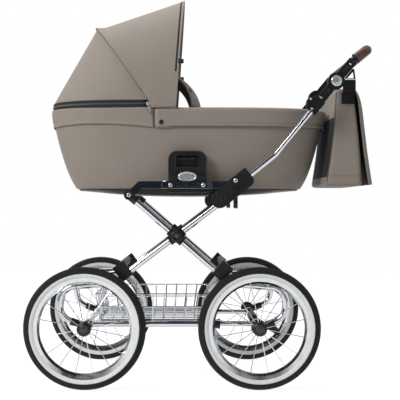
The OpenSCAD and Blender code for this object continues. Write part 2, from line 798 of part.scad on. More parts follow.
// Tilting handle: arms with eyes on the pivot pins and a U-shaped bar inside the grip
grip_corner_r = 45;
grip_r = grip_d / 2;
grip_bar_r = grip_bar_d / 2;
grip_start = along(tilt, upper_slope, upper_arm_len);
grip_path = [[-8, -inner_leg_y], [grip_reach, -inner_leg_y],
  [grip_reach, inner_leg_y], [-8, inner_leg_y]];
module in_grip_plane()
  translate([grip_start.x, 0, grip_start.y]) rotate([0, -grip_slope, 0]) children();
module handle_bar() color(black) {
  both_sides()
    difference() {
      union() {
        cross_pin(tilt, inner_leg_y - tilt_half, inner_leg_y - rest_gap, tilt_r);
        on_upper_run(0) translate([0, -arm_t / 2, -arm_w / 2]) cube([upper_arm_len, arm_t, arm_w]);
      }
      cross_pin(tilt, inner_leg_y - tilt_half - 1, inner_leg_y + 1, tilt_pin_r + run_gap);
      cross_pin(tilt, inner_leg_y - rest_gap, inner_leg_y + arm_t, tilt_r + 0.4);
    }
  in_grip_plane() planar_tube(grip_path, [grip_corner_r, grip_corner_r], grip_bar_r, 0, false);
}
module leather_grip() color(leather)
  in_grip_plane()
    planar_tube([for (p = grip_path) [max(p.x, 10), p.y]], [grip_corner_r, grip_corner_r],
      grip_r, grip_bar_r, false);

// Foot brake on the rear axle
pedal_y = 60;
pedal_slope = 30;
pedal_len = 92;
module brake_pedal() color(black)
  difference() {
    union() {
      cross_pin([axle_x, axle_z], -pedal_y, pedal_y, axle_r + 6);
      translate([axle_x, 0, axle_z]) rotate([0, pedal_slope, 0]) {
        translate([0, -pedal_y + 14, -4]) cube([pedal_len, 2 * pedal_y - 28, 8]);
        translate([pedal_len - 42, -pedal_y, -6]) cube([42, 2 * pedal_y, 12]);
      }
    }
    cross_pin([axle_x, axle_z], -pedal_y - 1, pedal_y + 1, axle_r + run_gap);
  }

// Bassinet shell: a lofted tub, narrower at the bottom
bassinet_rear = bassinet_front + bassinet_len;
half_w = bassinet_w / 2;
shell_h = rim_z - shell_z;
// How far the tub draws in from its rim at a share t of its height: front, rear and sides
function draw_front(t) = 63 * pow(1 - t, 1.4) + 12 * pow(1 - t, 8);
function draw_rear(t) = 61 * pow(1 - t, 1.25) + 14 * pow(1 - t, 8);
function draw_side(t) = 20 * (1 - t) + 10 * pow(1 - t, 8);
function tub_ring(t, inset, z) = oblong(bassinet_front + draw_front(t) + inset,
  bassinet_rear - draw_rear(t) - inset, half_w - draw_side(t) - inset, z);
tub_steps = [0, 0.06, 0.2, 0.45, 0.75, 1];
tub_floor = 14;
module bassinet_shell() color(taupe)
  loft(concat(
    [for (t = tub_steps) tub_ring(t, 0, shell_z + t * shell_h)],
    [for (i = [len(tub_steps) - 1:-1:2])
      tub_ring(tub_steps[i], shell_wall, shell_z + tub_steps[i] * shell_h)],
    [tub_ring(0.1, shell_wall, shell_z + tub_floor)]));

// Black base under the tub, curved like a rocker
base_gap = 0.2;
rocker_lift = 14;
base_mid = (bassinet_front + bassinet_rear) / 2;
base_half = bassinet_len / 2 - 110;
function rocker(ring) =
  [for (p = ring) [p.x, p.y, p.z + rocker_lift * pow((p.x - base_mid) / base_half, 2)]];
module bassinet_base() color(black)
  loft([
    rocker(oblong(base_mid - base_half + 60, base_mid + base_half - 60, half_w - 62, shell_z - base_h)),
    rocker(oblong(base_mid - base_half + 30, base_mid + base_half - 30, half_w - 44,
      shell_z - base_h + 1)),
    tub_ring(0, 7, shell_z - base_gap - 3),
    tub_ring(0, 6, shell_z - base_gap)
  ]);

// Mattress with a crown and drawn-in sides
mattress_z = shell_z + tub_floor + rest_gap;
module mattress() color([0.86, 0.84, 0.8])
  loft([
    tub_ring(0.1, shell_wall + 22, mattress_z),
    tub_ring(0.1, shell_wall + 6, mattress_z + mattress_h * 0.25),
    tub_ring(0.1, shell_wall + 5, mattress_z + mattress_h * 0.5),
    tub_ring(0.1, shell_wall + 14, mattress_z + mattress_h * 0.78),
    tub_ring(0.1, shell_wall + 46, mattress_z + mattress_h * 0.94),
    tub_ring(0.1, shell_wall + 110, mattress_z + mattress_h)
  ]);

// Carry brackets on the tub's sides, each with a hand slot and a release trigger
bracket_r = 24;
bracket_y1 = seat_bar_y0 - 1;
slot_mid_z = bracket_z0 + 62;
slot_depth = 19;
bracket_seat_gap = 0.2;
module bracket_outline()
  translate([bracket_mid, bracket_z0]) {
    translate([-bracket_w / 2, 0]) square([bracket_w, bracket_h - bracket_r]);
    translate([-bracket_w / 2 + bracket_r, 0]) square([bracket_w - 2 * bracket_r, bracket_h]);
    for (s = [-1, 1])
      translate([s * (bracket_w / 2 - bracket_r), bracket_h - bracket_r]) circle(r = bracket_r);
  }
module carry_brackets() color(black)
  both_sides()
    difference() {
      plate(bracket_y0 - 26, bracket_y1) bracket_outline();
      loft([for (t = tub_steps) tub_ring(t, -bracket_seat_gap, shell_z + t * shell_h)]);
      translate([bracket_mid - slot_w / 2, bracket_y1 - slot_depth, slot_mid_z - slot_h / 2])
        cube([slot_w, slot_depth + 1, slot_h]);
    }
// Trigger: a bar in the slot, its lower edge arched for the fingers
trigger_h = 10.5;
trigger_travel = 5;
trigger_w = slot_w - 2 * rest_gap;
trigger_z = slot_mid_z + slot_h / 2 - trigger_h - trigger_travel - rest_gap;
finger_arch = 4;
finger_half = trigger_w / 2 - 4;
finger_r = (pow(finger_half, 2) + pow(finger_arch, 2)) / (2 * finger_arch);
module trigger(side) color(black)
  mirror([0, side < 0 ? 1 : 0, 0])
    plate(bracket_y1 - slot_depth + rest_gap, bracket_y1 - 7 + rest_gap)
      difference() {
        translate([bracket_mid - trigger_w / 2, trigger_z]) square([trigger_w, trigger_h]);
        translate([bracket_mid, trigger_z + finger_arch - finger_r]) circle(r = finger_r);
      }
module trigger_left() trigger(-1);
module trigger_right() trigger(1);

// Hood: panels between bows that turn about a pivot above the rim
hood_half_rear = half_w - 3;
hood_half_front = half_w + 7;
hood_round = 2.7;
arch_n = 18;
first_arch = 1.2;
hood_bow_angle = 127;
hood_front_angle = 74;
rear_edge_angle = 182;
function arch_angle(j) = first_arch + (180 - 2 * first_arch) * j / (arch_n - 1);
// One arch: base point and direction in the X-Z plane, reach along it, half width across it
function arch(base, angle, reach, half) = [
  for (j = [0:arch_n - 1])
    let (a = arch_angle(j), r = reach * pow(sin(a), 2 / hood_round))
      [base.x + r * cos(angle), half * signed_pow(cos(a), 2 / hood_round), base.y + r * sin(angle)]
];
hood_pivot = [hood_x, hood_z];
// Reach of a panel stretched between two bows, part way between a chord and an arc
function panel_reach(r0, r1, a0, a1, a, fullness) =
  let (chord = r0 * r1 * sin(abs(a1 - a0)) / (r0 * sin(abs(a - a0)) + r1 * sin(abs(a1 - a))),
       t = (a - a0) / (a1 - a0))
    chord + fullness * (r0 + (r1 - r0) * t - chord);
// How far each panel is bowed out from a straight pull between its bows, from 0 to 1
rear_fullness = 0.05;
front_fullness = 0.35;
rear_rows = 7;
front_rows = 7;
nest_gap = 16;
bassinet_tip_r = hood_x - bassinet_front - 4;
function rear_panel(drop) = concat(
  [arch([hood_x, rim_z + rest_gap], 180, bassinet_tip_r - drop, hood_half_rear - drop)],
  [for (i = [0:rear_rows - 1])
    let (a = rear_edge_angle + (hood_bow_angle - rear_edge_angle) * i / (rear_rows - 1))
      arch(hood_pivot, a, panel_reach(bassinet_tip_r, hood_rear_r - hood_t - nest_gap,
        rear_edge_angle, hood_bow_angle, a, rear_fullness) - drop, hood_half_rear - drop)]);
visor_drop = 25.5;
visor_base = [hood_x + 68, hood_z - visor_drop];
visor_top = [hood_x + 96, hood_z + hood_front_r * sin(hood_front_angle)];
skirt_base = [hood_x + 30, hood_z - visor_drop];
function front_panel(drop) = concat(
  [for (i = [0:front_rows - 1])
    let (a = hood_bow_angle + (hood_front_angle - hood_bow_angle) * i / (front_rows - 1))
      arch(hood_pivot, a, panel_reach(hood_rear_r, hood_front_r, hood_bow_angle, hood_front_angle,
        a, front_fullness) - drop, hood_half_front - drop)],
  [for (base = [skirt_base, visor_base])
    arch(base, heading(base, visor_top), norm(visor_top - base) - drop, hood_half_front - drop)]);
module hood_rear() color(taupe)
  sheet(rear_panel(0), rear_panel(hood_t));
lug_r = 12;
lug_rise = 24;
stud_r = 6;
// The front panel's foot: a rounded lug round the stud, clear of the apron below it
module pivot_lug() {
  translate(hood_pivot) circle(r = lug_r);
  translate([hood_x - lug_r, hood_z]) square([2 * lug_r, lug_rise]);
}
module hood_front() color(taupe)
  difference() {
    union() {
      sheet(front_panel(0), front_panel(hood_t));
      both_sides() plate(hood_half_front - hood_t, hood_half_front) pivot_lug();
    }
    cross_pin(hood_pivot, -hood_half_front - 1, hood_half_front + 1, stud_r + run_gap);
  }
// Pivot plates on the rim with the studs that the front panel turns on
pivot_plate_w = 14;
module hood_pivots() color(black)
  both_sides() {
    translate([hood_x - pivot_plate_w / 2, hood_half_rear + rest_gap, rim_z])
      cube([pivot_plate_w, 3, hood_z - rim_z + 11]);
    cross_pin(hood_pivot, hood_half_rear + rest_gap + 3, hood_half_front, stud_r);
  }

// Apron: a cover over the rear of the tub with a hanging skirt, open where the wind flap starts
apron_start = hood_x + 8;
apron_crown = 9;
function apron_rings(lift) = [
  tub_ring(1, 150, rim_z + rest_gap + apron_crown + lift),
  tub_ring(1, 70, rim_z + rest_gap + apron_crown * 0.85 + lift),
  tub_ring(1, 10, rim_z + rest_gap + lift),
  tub_ring(1, -2.5 - lift * 0.7, rim_z + rest_gap + lift * 0.45),
  tub_ring(1, -2.5 - lift, rim_z - 12),
  tub_ring(1, -2.5 - lift, rim_z - skirt_h)
];
module apron() color(taupe)
  difference() {
    loft(concat(apron_rings(0), [for (i = [5:-1:0]) apron_rings(apron_t)[i]]));
    translate([bassinet_front - 20, -half_w - 20, rim_z - skirt_h - 1])
      cube([apron_start - bassinet_front + 20, bassinet_w + 40, skirt_h + 40]);
    translate([apron_start - 1, -half_w + 14, rim_z - 5])
      cube([flap_x - apron_start + 1, bassinet_w - 28, 40]);
  }

// Wind flap: a curved sheet that stands up from the apron towards the hood
flap_hinge = [flap_x + 3, rim_z + apron_crown * 0.9 + apron_t + rest_gap + 1.2];
flap_from = 6.8;
flap_to = 63;
flap_centre = along(flap_hinge, flap_from + 180, flap_r);
flap_narrow = 40;
module wind_flap() color(taupe)
  intersection() {
    upright(0)
      translate([flap_centre.x, flap_centre.y, -flap_w / 2])
        rotate([0, 0, flap_from])
          rotate_extrude_slice(flap_to - flap_from);
    translate([flap_centre.x, 0, flap_hinge.y - 1])
      rotate([90, 0, 90])
        linear_extrude(2 * flap_r)
          polygon([[-flap_w / 2, 0], [flap_w / 2, 0], [flap_w / 2 - flap_narrow / 2, 60],
            [flap_w / 2 - flap_narrow, 130], [-flap_w / 2 + flap_narrow, 130],
            [-flap_w / 2 + flap_narrow / 2, 60]]);
  }
module rotate_extrude_slice(angle)
  rotate_extrude(angle = angle)
    translate([flap_r, 0]) square([flap_t, flap_w]);

// Bag on the handle: a lofted body that hangs from hooks on the tilt pivots
bag_front = tilt_x + 8;
bag_top_z = tilt_z - 13;
bag_bottom_front = tilt_x - 26;
function bag_ring(t, x_in, z) =
  let (x0 = bag_front + (bag_bottom_front - bag_front) * pow(1 - t, 2.2) + x_in,
       x1 = bag_front + bag_top_t - x_in
         + (bag_bottom_front + bag_bottom_t - bag_front - bag_top_t) * (1 - t))
    oblong(x0, x1, bag_w / 2 - x_in, z, 6);
module bag_body() color(taupe)
  loft([
    bag_ring(0, 12, bag_top_z - bag_h),
    bag_ring(0.02, 2, bag_top_z - bag_h + 5),
    bag_ring(0.3, 0, bag_top_z - bag_h * 0.7),
    bag_ring(0.65, 0, bag_top_z - bag_h * 0.35),
    bag_ring(0.95, 2, bag_top_z - bag_h * 0.06),
    bag_ring(1, 12, bag_top_z)
  ]);
// Hooks: an eye on the pivot's pin, an arm with a hand loop, and webbing down to the bag's side
hook_y1 = inner_leg_y - tilt_half - 4 - rest_gap;
hook_t = 5;
web_w = 38;
web_x = tilt_x + 24;
web_drop = 17;
web_fold = 4;
patch_t = 2.5;
patch_h = 36;
arm_h = 12;
loop_rise = 36;
loop_wire = 4;
module hook_loop() {
  base = tilt.y + arm_h / 2 - 2;
  apex = [web_x + web_w - 8, tilt.y + loop_rise];
  difference() {
    hull() {
      translate(apex) circle(r = loop_wire);
      translate([web_x + loop_wire, base]) circle(r = loop_wire);
      translate([web_x + web_w - loop_wire, base]) circle(r = loop_wire);
    }
    polygon([apex - [0, 5], [web_x + loop_wire + 5, base + 4], [web_x + web_w - loop_wire - 1, base + 4]]);
  }
}
module bag_hooks() color(black)
  both_sides() {
    difference() {
      union() {
        plate(hook_y1 - hook_t, hook_y1) {
          translate(tilt) circle(r = hook_pin_r + 6);
          translate([tilt.x, tilt.y - arm_h / 2]) square([web_x + web_w - tilt.x, arm_h]);
          translate([web_x, bag_top_z - web_drop]) square([web_w, tilt.y - bag_top_z + web_drop]);
          hook_loop();
        }
        translate([web_x, bag_w / 2 + rest_gap, bag_top_z - web_drop])
          cube([web_w, hook_y1 - hook_t - bag_w / 2 - rest_gap + 1, web_fold]);
        translate([web_x, bag_w / 2 + rest_gap, bag_top_z - web_drop + web_fold - patch_h])
          cube([web_w, patch_t, patch_h]);
      }
      cross_pin(tilt, hook_y1 - hook_t - 1, hook_y1 + 1, hook_pin_r + run_gap);
    }
  }

seat_bars();
bassinet_sockets();
rear_legs();
leg_top_joints();
rear_axle();
rear_axle_brackets();
rear_cross_member();
outer_pivot_saddles();
cross_pivot_bolts();
front_legs();
front_axle();
front_axle_brackets();
front_cross_member();
inner_pivot_saddles();
fold_housings();
push_tubes();
handle_collars();
handle_arms();
tilt_housings();
rear_rails();
front_rails();
rail_sleeves();
basket();
tyre_front_left();
rim_front_left();
spokes_front_left();
hub_front_left();
tyre_front_right();
rim_front_right();
spokes_front_right();
hub_front_right();
tyre_rear_left();
rim_rear_left();
spokes_rear_left();
hub_rear_left();
tyre_rear_right();
rim_rear_right();
spokes_rear_right();
hub_rear_right();
fold_lever_left();
fold_lever_right();
handle_bar();
leather_grip();
tilt_button_left();
tilt_button_right();
brake_pedal();
bassinet_shell();
bassinet_base();
carry_brackets();
mattress();
hood_pivots();
hood_rear();
apron();
hood_front();
trigger_left();
trigger_right();
wind_flap();
bag_body();
bag_hooks();
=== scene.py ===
import math

import bpy
from mathutils import Matrix, Vector


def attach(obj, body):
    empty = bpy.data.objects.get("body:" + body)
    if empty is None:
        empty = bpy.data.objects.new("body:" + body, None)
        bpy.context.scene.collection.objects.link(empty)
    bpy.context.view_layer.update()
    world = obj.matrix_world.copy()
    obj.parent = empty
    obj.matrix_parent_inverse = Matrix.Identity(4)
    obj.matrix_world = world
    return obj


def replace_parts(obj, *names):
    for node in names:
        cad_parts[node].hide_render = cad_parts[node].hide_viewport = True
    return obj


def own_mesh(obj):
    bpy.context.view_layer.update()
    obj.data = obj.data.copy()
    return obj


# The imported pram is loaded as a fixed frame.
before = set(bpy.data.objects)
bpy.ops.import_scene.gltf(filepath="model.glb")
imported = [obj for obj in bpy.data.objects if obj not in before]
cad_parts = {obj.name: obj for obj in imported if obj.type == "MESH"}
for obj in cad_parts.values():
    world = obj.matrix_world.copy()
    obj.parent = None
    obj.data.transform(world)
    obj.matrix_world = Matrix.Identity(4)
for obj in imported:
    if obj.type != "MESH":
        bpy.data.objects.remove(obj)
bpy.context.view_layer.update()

# The camera stands square on to the pram's left side, at about the height of its springs,
# with a long lens as in a catalogue picture.
picture, focal_pixels = 400, 987.5
bpy.ops.object.select_all(action="DESELECT")
bpy.ops.object.camera_add(location=(0.0375, -3.135, 0.531), rotation=(math.radians(90), 0, 0))
camera = bpy.context.object
camera.data.sensor_width = 36
camera.data.lens = 36 * focal_pixels / picture
camera.data.shift_x = 15 / picture
camera.data.shift_y = 6 / picture
bpy.context.scene.camera = camera
bpy.context.scene.view_settings.view_transform = "Standard"


# A white floor and a white room stand behind the pram, and the lens sees them white. Polished metal
# sees the room darken towards the lens. The room itself gives a soft, even light.
def linear(hex_colour, alpha=1.0):
    """A colour written as sRGB hex, turned to the linear values that shaders take."""
    parts = [int(hex_colour[i:i + 2], 16) / 255 for i in (0, 2, 4)]
    return [c / 12.92 if c <= 0.04045 else ((c + 0.055) / 1.055) ** 2.4 for c in parts] + [alpha]


def node(tree, kind, inputs=(), **settings):
    """Adds one node. Inputs are values, or other nodes' outputs to link, by socket name or number."""
    made = tree.nodes.new("ShaderNode" + kind)
    for name, value in settings.items():
        setattr(made, name, value)
    for socket, value in dict(inputs).items():
        if isinstance(value, bpy.types.NodeSocket):
            tree.links.new(value, made.inputs[socket])
        else:
            made.inputs[socket].default_value = value
    return made


def new_material(name):
    """An empty principled material: itself, its tree and its shader."""
    made = bpy.data.materials.new(name)
    made.use_nodes = True
    return made, made.node_tree, made.node_tree.nodes["Principled BSDF"]


def wire_up(tree, shader, **sockets):
    """Links outputs to the shader's sockets, named in small letters, or sets them to values."""
    for name, value in sockets.items():
        socket = shader.inputs[name.replace("_", " ").title().replace("Ior", "IOR")]
        if isinstance(value, bpy.types.NodeSocket):
            tree.links.new(value, socket)
        else:
            socket.default_value = value


white = (1, 1, 1, 1)
bpy.ops.object.select_all(action="DESELECT")
bpy.ops.mesh.primitive_plane_add(size=14, location=(0, 0, 0))
floor = bpy.context.object
floor.name = "studio_floor"
studio_white, tree, shader = new_material("studio_white")
wire_up(tree, shader, base_color=linear("e6e6e6"), roughness=0.9)
path = node(tree, "LightPath")
seen = node(tree, "Math", {0: path.outputs["Is Camera Ray"], 1: path.outputs["Is Glossy Ray"]},
            operation="MAXIMUM")
seen = node(tree, "Math", {0: seen.outputs[0], 1: path.outputs["Is Transmission Ray"]},
            operation="MAXIMUM")
shade = node(tree, "BsdfDiffuse", {"Color": linear("a6a6a6")})
glow = node(tree, "Emission", {"Color": white, "Strength": 0.86})
both = node(tree, "AddShader", {0: shade.outputs[0], 1: glow.outputs[0]})
shown = node(tree, "MixShader", {0: seen.outputs[0], 1: shader.outputs[0], 2: both.outputs[0]})
tree.links.new(shown.outputs[0], tree.nodes["Material Output"].inputs["Surface"])
floor.data.materials.append(studio_white)

room = bpy.data.worlds.new("studio_room")
bpy.context.scene.world = room
room.use_nodes = True
tree = room.node_tree
tree.nodes.clear()
path = node(tree, "LightPath")
compass = node(tree, "TexCoord")
split = node(tree, "SeparateXYZ", {0: compass.outputs["Generated"]})
sideways = node(tree, "Math", {0: split.outputs["X"]}, operation="ABSOLUTE")
facing = node(tree, "Math", {0: sideways.outputs[0], 1: 0.7, 2: split.outputs["Y"]},
              operation="MULTIPLY_ADD")
walls = node(tree, "ValToRGB", {"Fac": facing.outputs[0]})
for stop, spot, colour in zip(walls.color_ramp.elements, (0.0, 0.55), ((0.05, 0.065, 0.085, 1), white)):
    stop.position, stop.color = spot, colour
ceiling = node(tree, "MapRange", {"Value": split.outputs["Z"], 1: -0.1, 2: 0.5, 3: 0.2, 4: 0.9})
mirror_room = node(tree, "Background", {"Color": walls.outputs["Color"],
                                        "Strength": ceiling.outputs["Result"]})
soft_room = node(tree, "Background", {"Color": white, "Strength": 0.30})
seen_room = node(tree, "Background", {"Color": white, "Strength": 1.0})
lit = node(tree, "MixShader", {0: path.outputs["Is Glossy Ray"], 1: soft_room.outputs[0],
                               2: mirror_room.outputs[0]})
seen = node(tree, "MixShader", {0: path.outputs["Is Camera Ray"], 1: lit.outputs[0],
                                2: seen_room.outputs[0]})
node(tree, "OutputWorld", {"Surface": seen.outputs[0]})

for name, place, aim, size, power in (
    ("key_softbox", (-2.3, -2.1, 2.5), (0.0, 0.0, 0.7), 1.5, 92),
    ("fill_softbox", (2.4, -2.2, 1.5), (0.1, 0.0, 0.6), 1.4, 7),
    ("top_softbox", (-0.2, 0.3, 2.9), (0.0, 0.0, 0.7), 1.8, 30),
):
    bpy.ops.object.light_add(type="AREA", location=place)
    lamp = bpy.context.object
    lamp.name = name
    lamp.data.size = size
    lamp.data.energy = power
    lamp.rotation_euler = (Vector(aim) - Vector(place)).to_track_quat("-Z", "Y").to_euler()


# Chromed tubes, bars and wires of the folding frame. The steel is polished before plating, so the
# chrome is a clear mirror with a faint haze where it has been wiped.
def mottled(name, size, detail, tones, roughness, **sockets):
    """A material in two tones that drift in clouds of a size in metres. A pair of roughnesses drifts
    with them. Other sockets of the shader are set by name."""
    made, tree, shader = new_material(name)
    place = node(tree, "TexCoord")
    cloud = node(tree, "TexNoise", {"Vector": place.outputs["Object"], "Scale": 1 / size, "Detail": detail})
    tone = node(tree, "Mix", {0: cloud.outputs["Fac"], 6: linear(tones[0]), 7: linear(tones[1])},
                data_type="RGBA")
    if isinstance(roughness, tuple):
        worn = node(tree, "MapRange", {"Value": cloud.outputs["Fac"], 1: 0.3, 2: 0.7,
                                       3: roughness[0], 4: roughness[1]})
        roughness = worn.outputs["Result"]
    wire_up(tree, shader, base_color=tone.outputs[2], roughness=roughness, **sockets)
    return made, tree, shader


def finish_node(material, *names):
    """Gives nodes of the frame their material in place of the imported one."""
    for name in names:
        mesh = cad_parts[name].data
        mesh.materials.clear()
        mesh.materials.append(material)


chrome, _, _ = mottled("polished_chrome_plate", 0.03, 4.0, ("d2d4d7", "c2c4c8"), (0.05, 0.13), metallic=1.0)
finish_node(chrome, "seat_bars", "rear_legs", "front_legs", "rear_axle", "front_axle",
            "cross_pivot_bolts", "push_tubes", "rear_rails", "front_rails", "basket",
            "fold_lever_left", "fold_lever_right")


# Black moulded joints, clamps, sockets and arms. Glass-filled nylon from a spark-eroded mould has
# a fine even grain, drawn at 1.2 mm because its real 0.2 mm would not show.
def dented(tree, shader, pattern, size, strength, depth, **inputs):
    """Dents a material's surface by a pattern of a size in metres, to a depth."""
    place = node(tree, "TexCoord")
    dents = node(tree, pattern, {"Vector": place.outputs["Object"], "Scale": 1 / size, **inputs})
    bump = node(tree, "Bump", {"Height": dents.outputs[0], "Strength": strength, "Distance": depth})
    wire_up(tree, shader, normal=bump.outputs["Normal"])


black_nylon, tree, shader = mottled("moulded_black_nylon", 0.05, 3.0, ("08090a", "0e0f11"), (0.36, 0.5),
                                    specular_ior_level=0.4)
dented(tree, shader, "TexNoise", 0.0012, 0.2, 0.0004, Detail=2.0)
finish_node(black_nylon, "bassinet_sockets", "leg_top_joints", "rear_axle_brackets",
            "rear_cross_member", "outer_pivot_saddles", "front_axle_brackets", "front_cross_member",
            "inner_pivot_saddles", "fold_housings", "handle_collars", "handle_arms", "tilt_housings",
            "rail_sleeves", "handle_bar", "brake_pedal", "carry_brackets", "hood_pivots",
            "bag_hooks", "bassinet_base")

# Wheels: chromed rims and spokes on black hubs, and air tyres with a white side wall. The tyre's
# tread is a band of fine slanting ribs, moulded round its outer 20 mm.
axle_z, half_base = 0.1775, 0.2525
wheel_ends = (("front", -half_base), ("rear", half_base))
for end, axle_x in wheel_ends:
    tyre_rubber, tree, shader = new_material("white_wall_tyre_" + end)
    place = node(tree, "TexCoord")
    hub = node(tree, "Mapping", {"Vector": place.outputs["Object"], "Location": (-axle_x, 0, -axle_z)})
    split = node(tree, "SeparateXYZ", {0: hub.outputs[0]})
    disc = node(tree, "CombineXYZ", {0: split.outputs["X"], 2: split.outputs["Z"]})
    reach = node(tree, "VectorMath", {0: disc.outputs[0]}, operation="LENGTH")
    turn = node(tree, "Math", {0: split.outputs["Z"], 1: split.outputs["X"]}, operation="ARCTAN2")
    dust = node(tree, "TexNoise", {"Vector": place.outputs["Object"], "Scale": 1 / 0.012, "Detail": 4.0})
    across_wall = node(tree, "MapRange", {"Value": reach.outputs["Value"], 1: 0.14, 2: 0.18})
    wall = node(tree, "ValToRGB", {"Fac": across_wall.outputs["Result"]})
    for stop, spot, colour in zip(wall.color_ramp.elements, (0.44, 0.48), ("e4e7e4", "131415")):
        stop.position, stop.color = spot, linear(colour)
    faint = node(tree, "Math", {0: dust.outputs["Fac"], 1: 0.1}, operation="MULTIPLY")
    tone = node(tree, "Mix", {0: faint.outputs[0], 6: wall.outputs["Color"], 7: linear("2c2d31")},
                data_type="RGBA")
    width = node(tree, "Math", {0: split.outputs["Y"]}, operation="ABSOLUTE")
    skew = node(tree, "Math", {0: width.outputs[0], 1: 480.0}, operation="MULTIPLY")
    slant = node(tree, "Math", {0: turn.outputs[0], 1: 150.0, 2: skew.outputs[0]},
                 operation="MULTIPLY_ADD")
    rib = node(tree, "Math", {0: slant.outputs[0]}, operation="SINE")
    tread = node(tree, "MapRange", {"Value": reach.outputs["Value"], 1: 0.162, 2: 0.167})
    depth = node(tree, "Math", {0: rib.outputs[0], 1: tread.outputs["Result"]}, operation="MULTIPLY")
    bump = node(tree, "Bump", {"Height": depth.outputs[0], "Strength": 0.9, "Distance": 0.0015})
    wire_up(tree, shader, base_color=tone.outputs[2], normal=bump.outputs["Normal"], roughness=0.7,
            specular_ior_level=0.3)
    for side in ("left", "right"):
        finish_node(tyre_rubber, f"tyre_{end}_{side}")
        finish_node(chrome, f"rim_{end}_{side}", f"spokes_{end}_{side}")
        finish_node(black_nylon, f"hub_{end}_{side}")


# A round cap closes each hub: a disc moulded in satin grey ABS, with a stepped edge and a shallow
# dome, pressed over the end of the axle.
def only(piece):
    """Ends any editing and makes a piece the one that operators act on."""
    if bpy.context.mode != "OBJECT":
        bpy.ops.object.mode_set(mode="OBJECT")
    bpy.ops.object.select_all(action="DESELECT")
    piece.select_set(True)
    bpy.context.view_layer.objects.active = piece


def added(name):
    """Names the primitive that was just added, and puts its place and turn into its mesh."""
    piece = bpy.context.object
    piece.name = name
    piece.data.name = name
    bpy.ops.object.transform_apply(location=True, rotation=True, scale=True)
    return piece


facing_near = (math.radians(90), 0, 0)


def disc_blank(name, sides, radius, depth, place=(0, 0, 0), turn=facing_near, scale=(1, 1, 1)):
    """Starts a piece from a round post, which faces the near side unless it is turned."""
    bpy.ops.object.select_all(action="DESELECT")
    bpy.ops.mesh.primitive_cylinder_add(vertices=sides, radius=radius, depth=depth, location=place,
                                        rotation=turn, scale=scale)
    return added(name)


def pick(piece, test=None, kind="FACE"):
    """Opens a piece for editing with those faces, or points, selected that pass a test, or with all."""
    only(piece)
    bpy.ops.object.mode_set(mode="EDIT")
    bpy.ops.mesh.select_mode(type=kind)
    bpy.ops.mesh.select_all(action="DESELECT")
    bpy.ops.object.mode_set(mode="OBJECT")
    if kind == "FACE":
        for face in piece.data.polygons:
            face.select = test is None or test(face.center, face.normal)
    else:
        for point in piece.data.vertices:
            point.select = test(point.co)
    bpy.ops.object.mode_set(mode="EDIT")


def step(inward, out):
    """Insets the picked faces and moves them out to the near side, or back if out is below 0."""
    bpy.ops.mesh.inset(thickness=inward)
    bpy.ops.transform.translate(value=(0, -out, 0))


def apply_modifier(piece, kind, **settings):
    """Adds a modifier to a piece and applies it."""
    only(piece)
    made = piece.modifiers.new(kind.title(), kind)
    for name, value in settings.items():
        setattr(made, name, value)
    bpy.ops.object.modifier_apply(modifier=made.name)


def soften(piece, width, segments=2, over=30, shade=35):
    """Rounds those edges of a piece that turn by more than an angle, and shades it smooth."""
    apply_modifier(piece, "BEVEL", width=width, segments=segments, limit_method="ANGLE",
                   angle_limit=math.radians(over))
    bpy.ops.object.shade_smooth_by_angle(angle=math.radians(shade))


def copied(piece, name, shift=(0, 0, 0), mirror=False, turn=Matrix.Identity(3)):
    """A copy of a piece with its own mesh, turned and moved, or mirrored to the pram's far side."""
    twin = piece.copy()
    twin.data = piece.data.copy()
    twin.name = name
    bpy.context.scene.collection.objects.link(twin)
    twin.data.transform(Matrix.Translation(shift) @ turn.to_4x4())
    if mirror:
        twin.data.transform(Matrix.Scale(-1, 4, (0, 1, 0)))
        twin.data.flip_normals()
    return twin


def fit(piece, material, body):
    """Gives a piece its material and the body that carries it."""
    piece.data.materials.clear()
    piece.data.materials.append(material)
    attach(piece, body)
    return piece


def fit_pair(piece, material, body):
    """Fits a near-side piece and its mirrored twin, which rides on the far body if there are two."""
    twin = copied(piece, piece.name.removesuffix("_left") + "_right", mirror=True)
    return fit(piece, material, body), fit(twin, material, body.replace("_left", "_right"))


grey_abs, _, _ = mottled("moulded_grey_abs", 0.02, 3.0, ("2b2c2b", "383936"), (0.26, 0.4))
hub_face = -0.3118
cap = disc_blank("hub_cap_blank", 48, 0.0125, 0.002, (0, hub_face, axle_z))
pick(cap, lambda c, n: n.y < -0.9)
for inward, out in ((0.0018, -0.0007), (0.0012, 0.0012), (0.004, 0.0007)):
    step(inward, out)
soften(cap, 0.0003)
for end, axle_x in wheel_ends:
    left = copied(cap, f"hub_cap_{end}_left", (axle_x, 0, 0))
    fit_pair(left, grey_abs, f"wheel_{end}_left")
bpy.data.objects.remove(cap)


# Rivets and bolts hold the chassis together. Each is a turned steel head with a flat shoulder and a
# low dome, set on the joint's face. The fold housing's four are blacked and the rest are chromed.
def round_head(name, radius, height):
    """A domed head at the origin that looks to the near side: a post, stepped in and drawn out."""
    head = disc_blank(name, 28, radius, height)
    for part, rise in ((0.16, 0.35), (0.24, 0.28), (0.3, 0.14)):
        pick(head, lambda c, n: n.y < -0.9 and c.y < -0.49 * height)
        step(radius * part, height * rise)
    soften(head, radius * 0.1, over=40, shade=50)
    return head


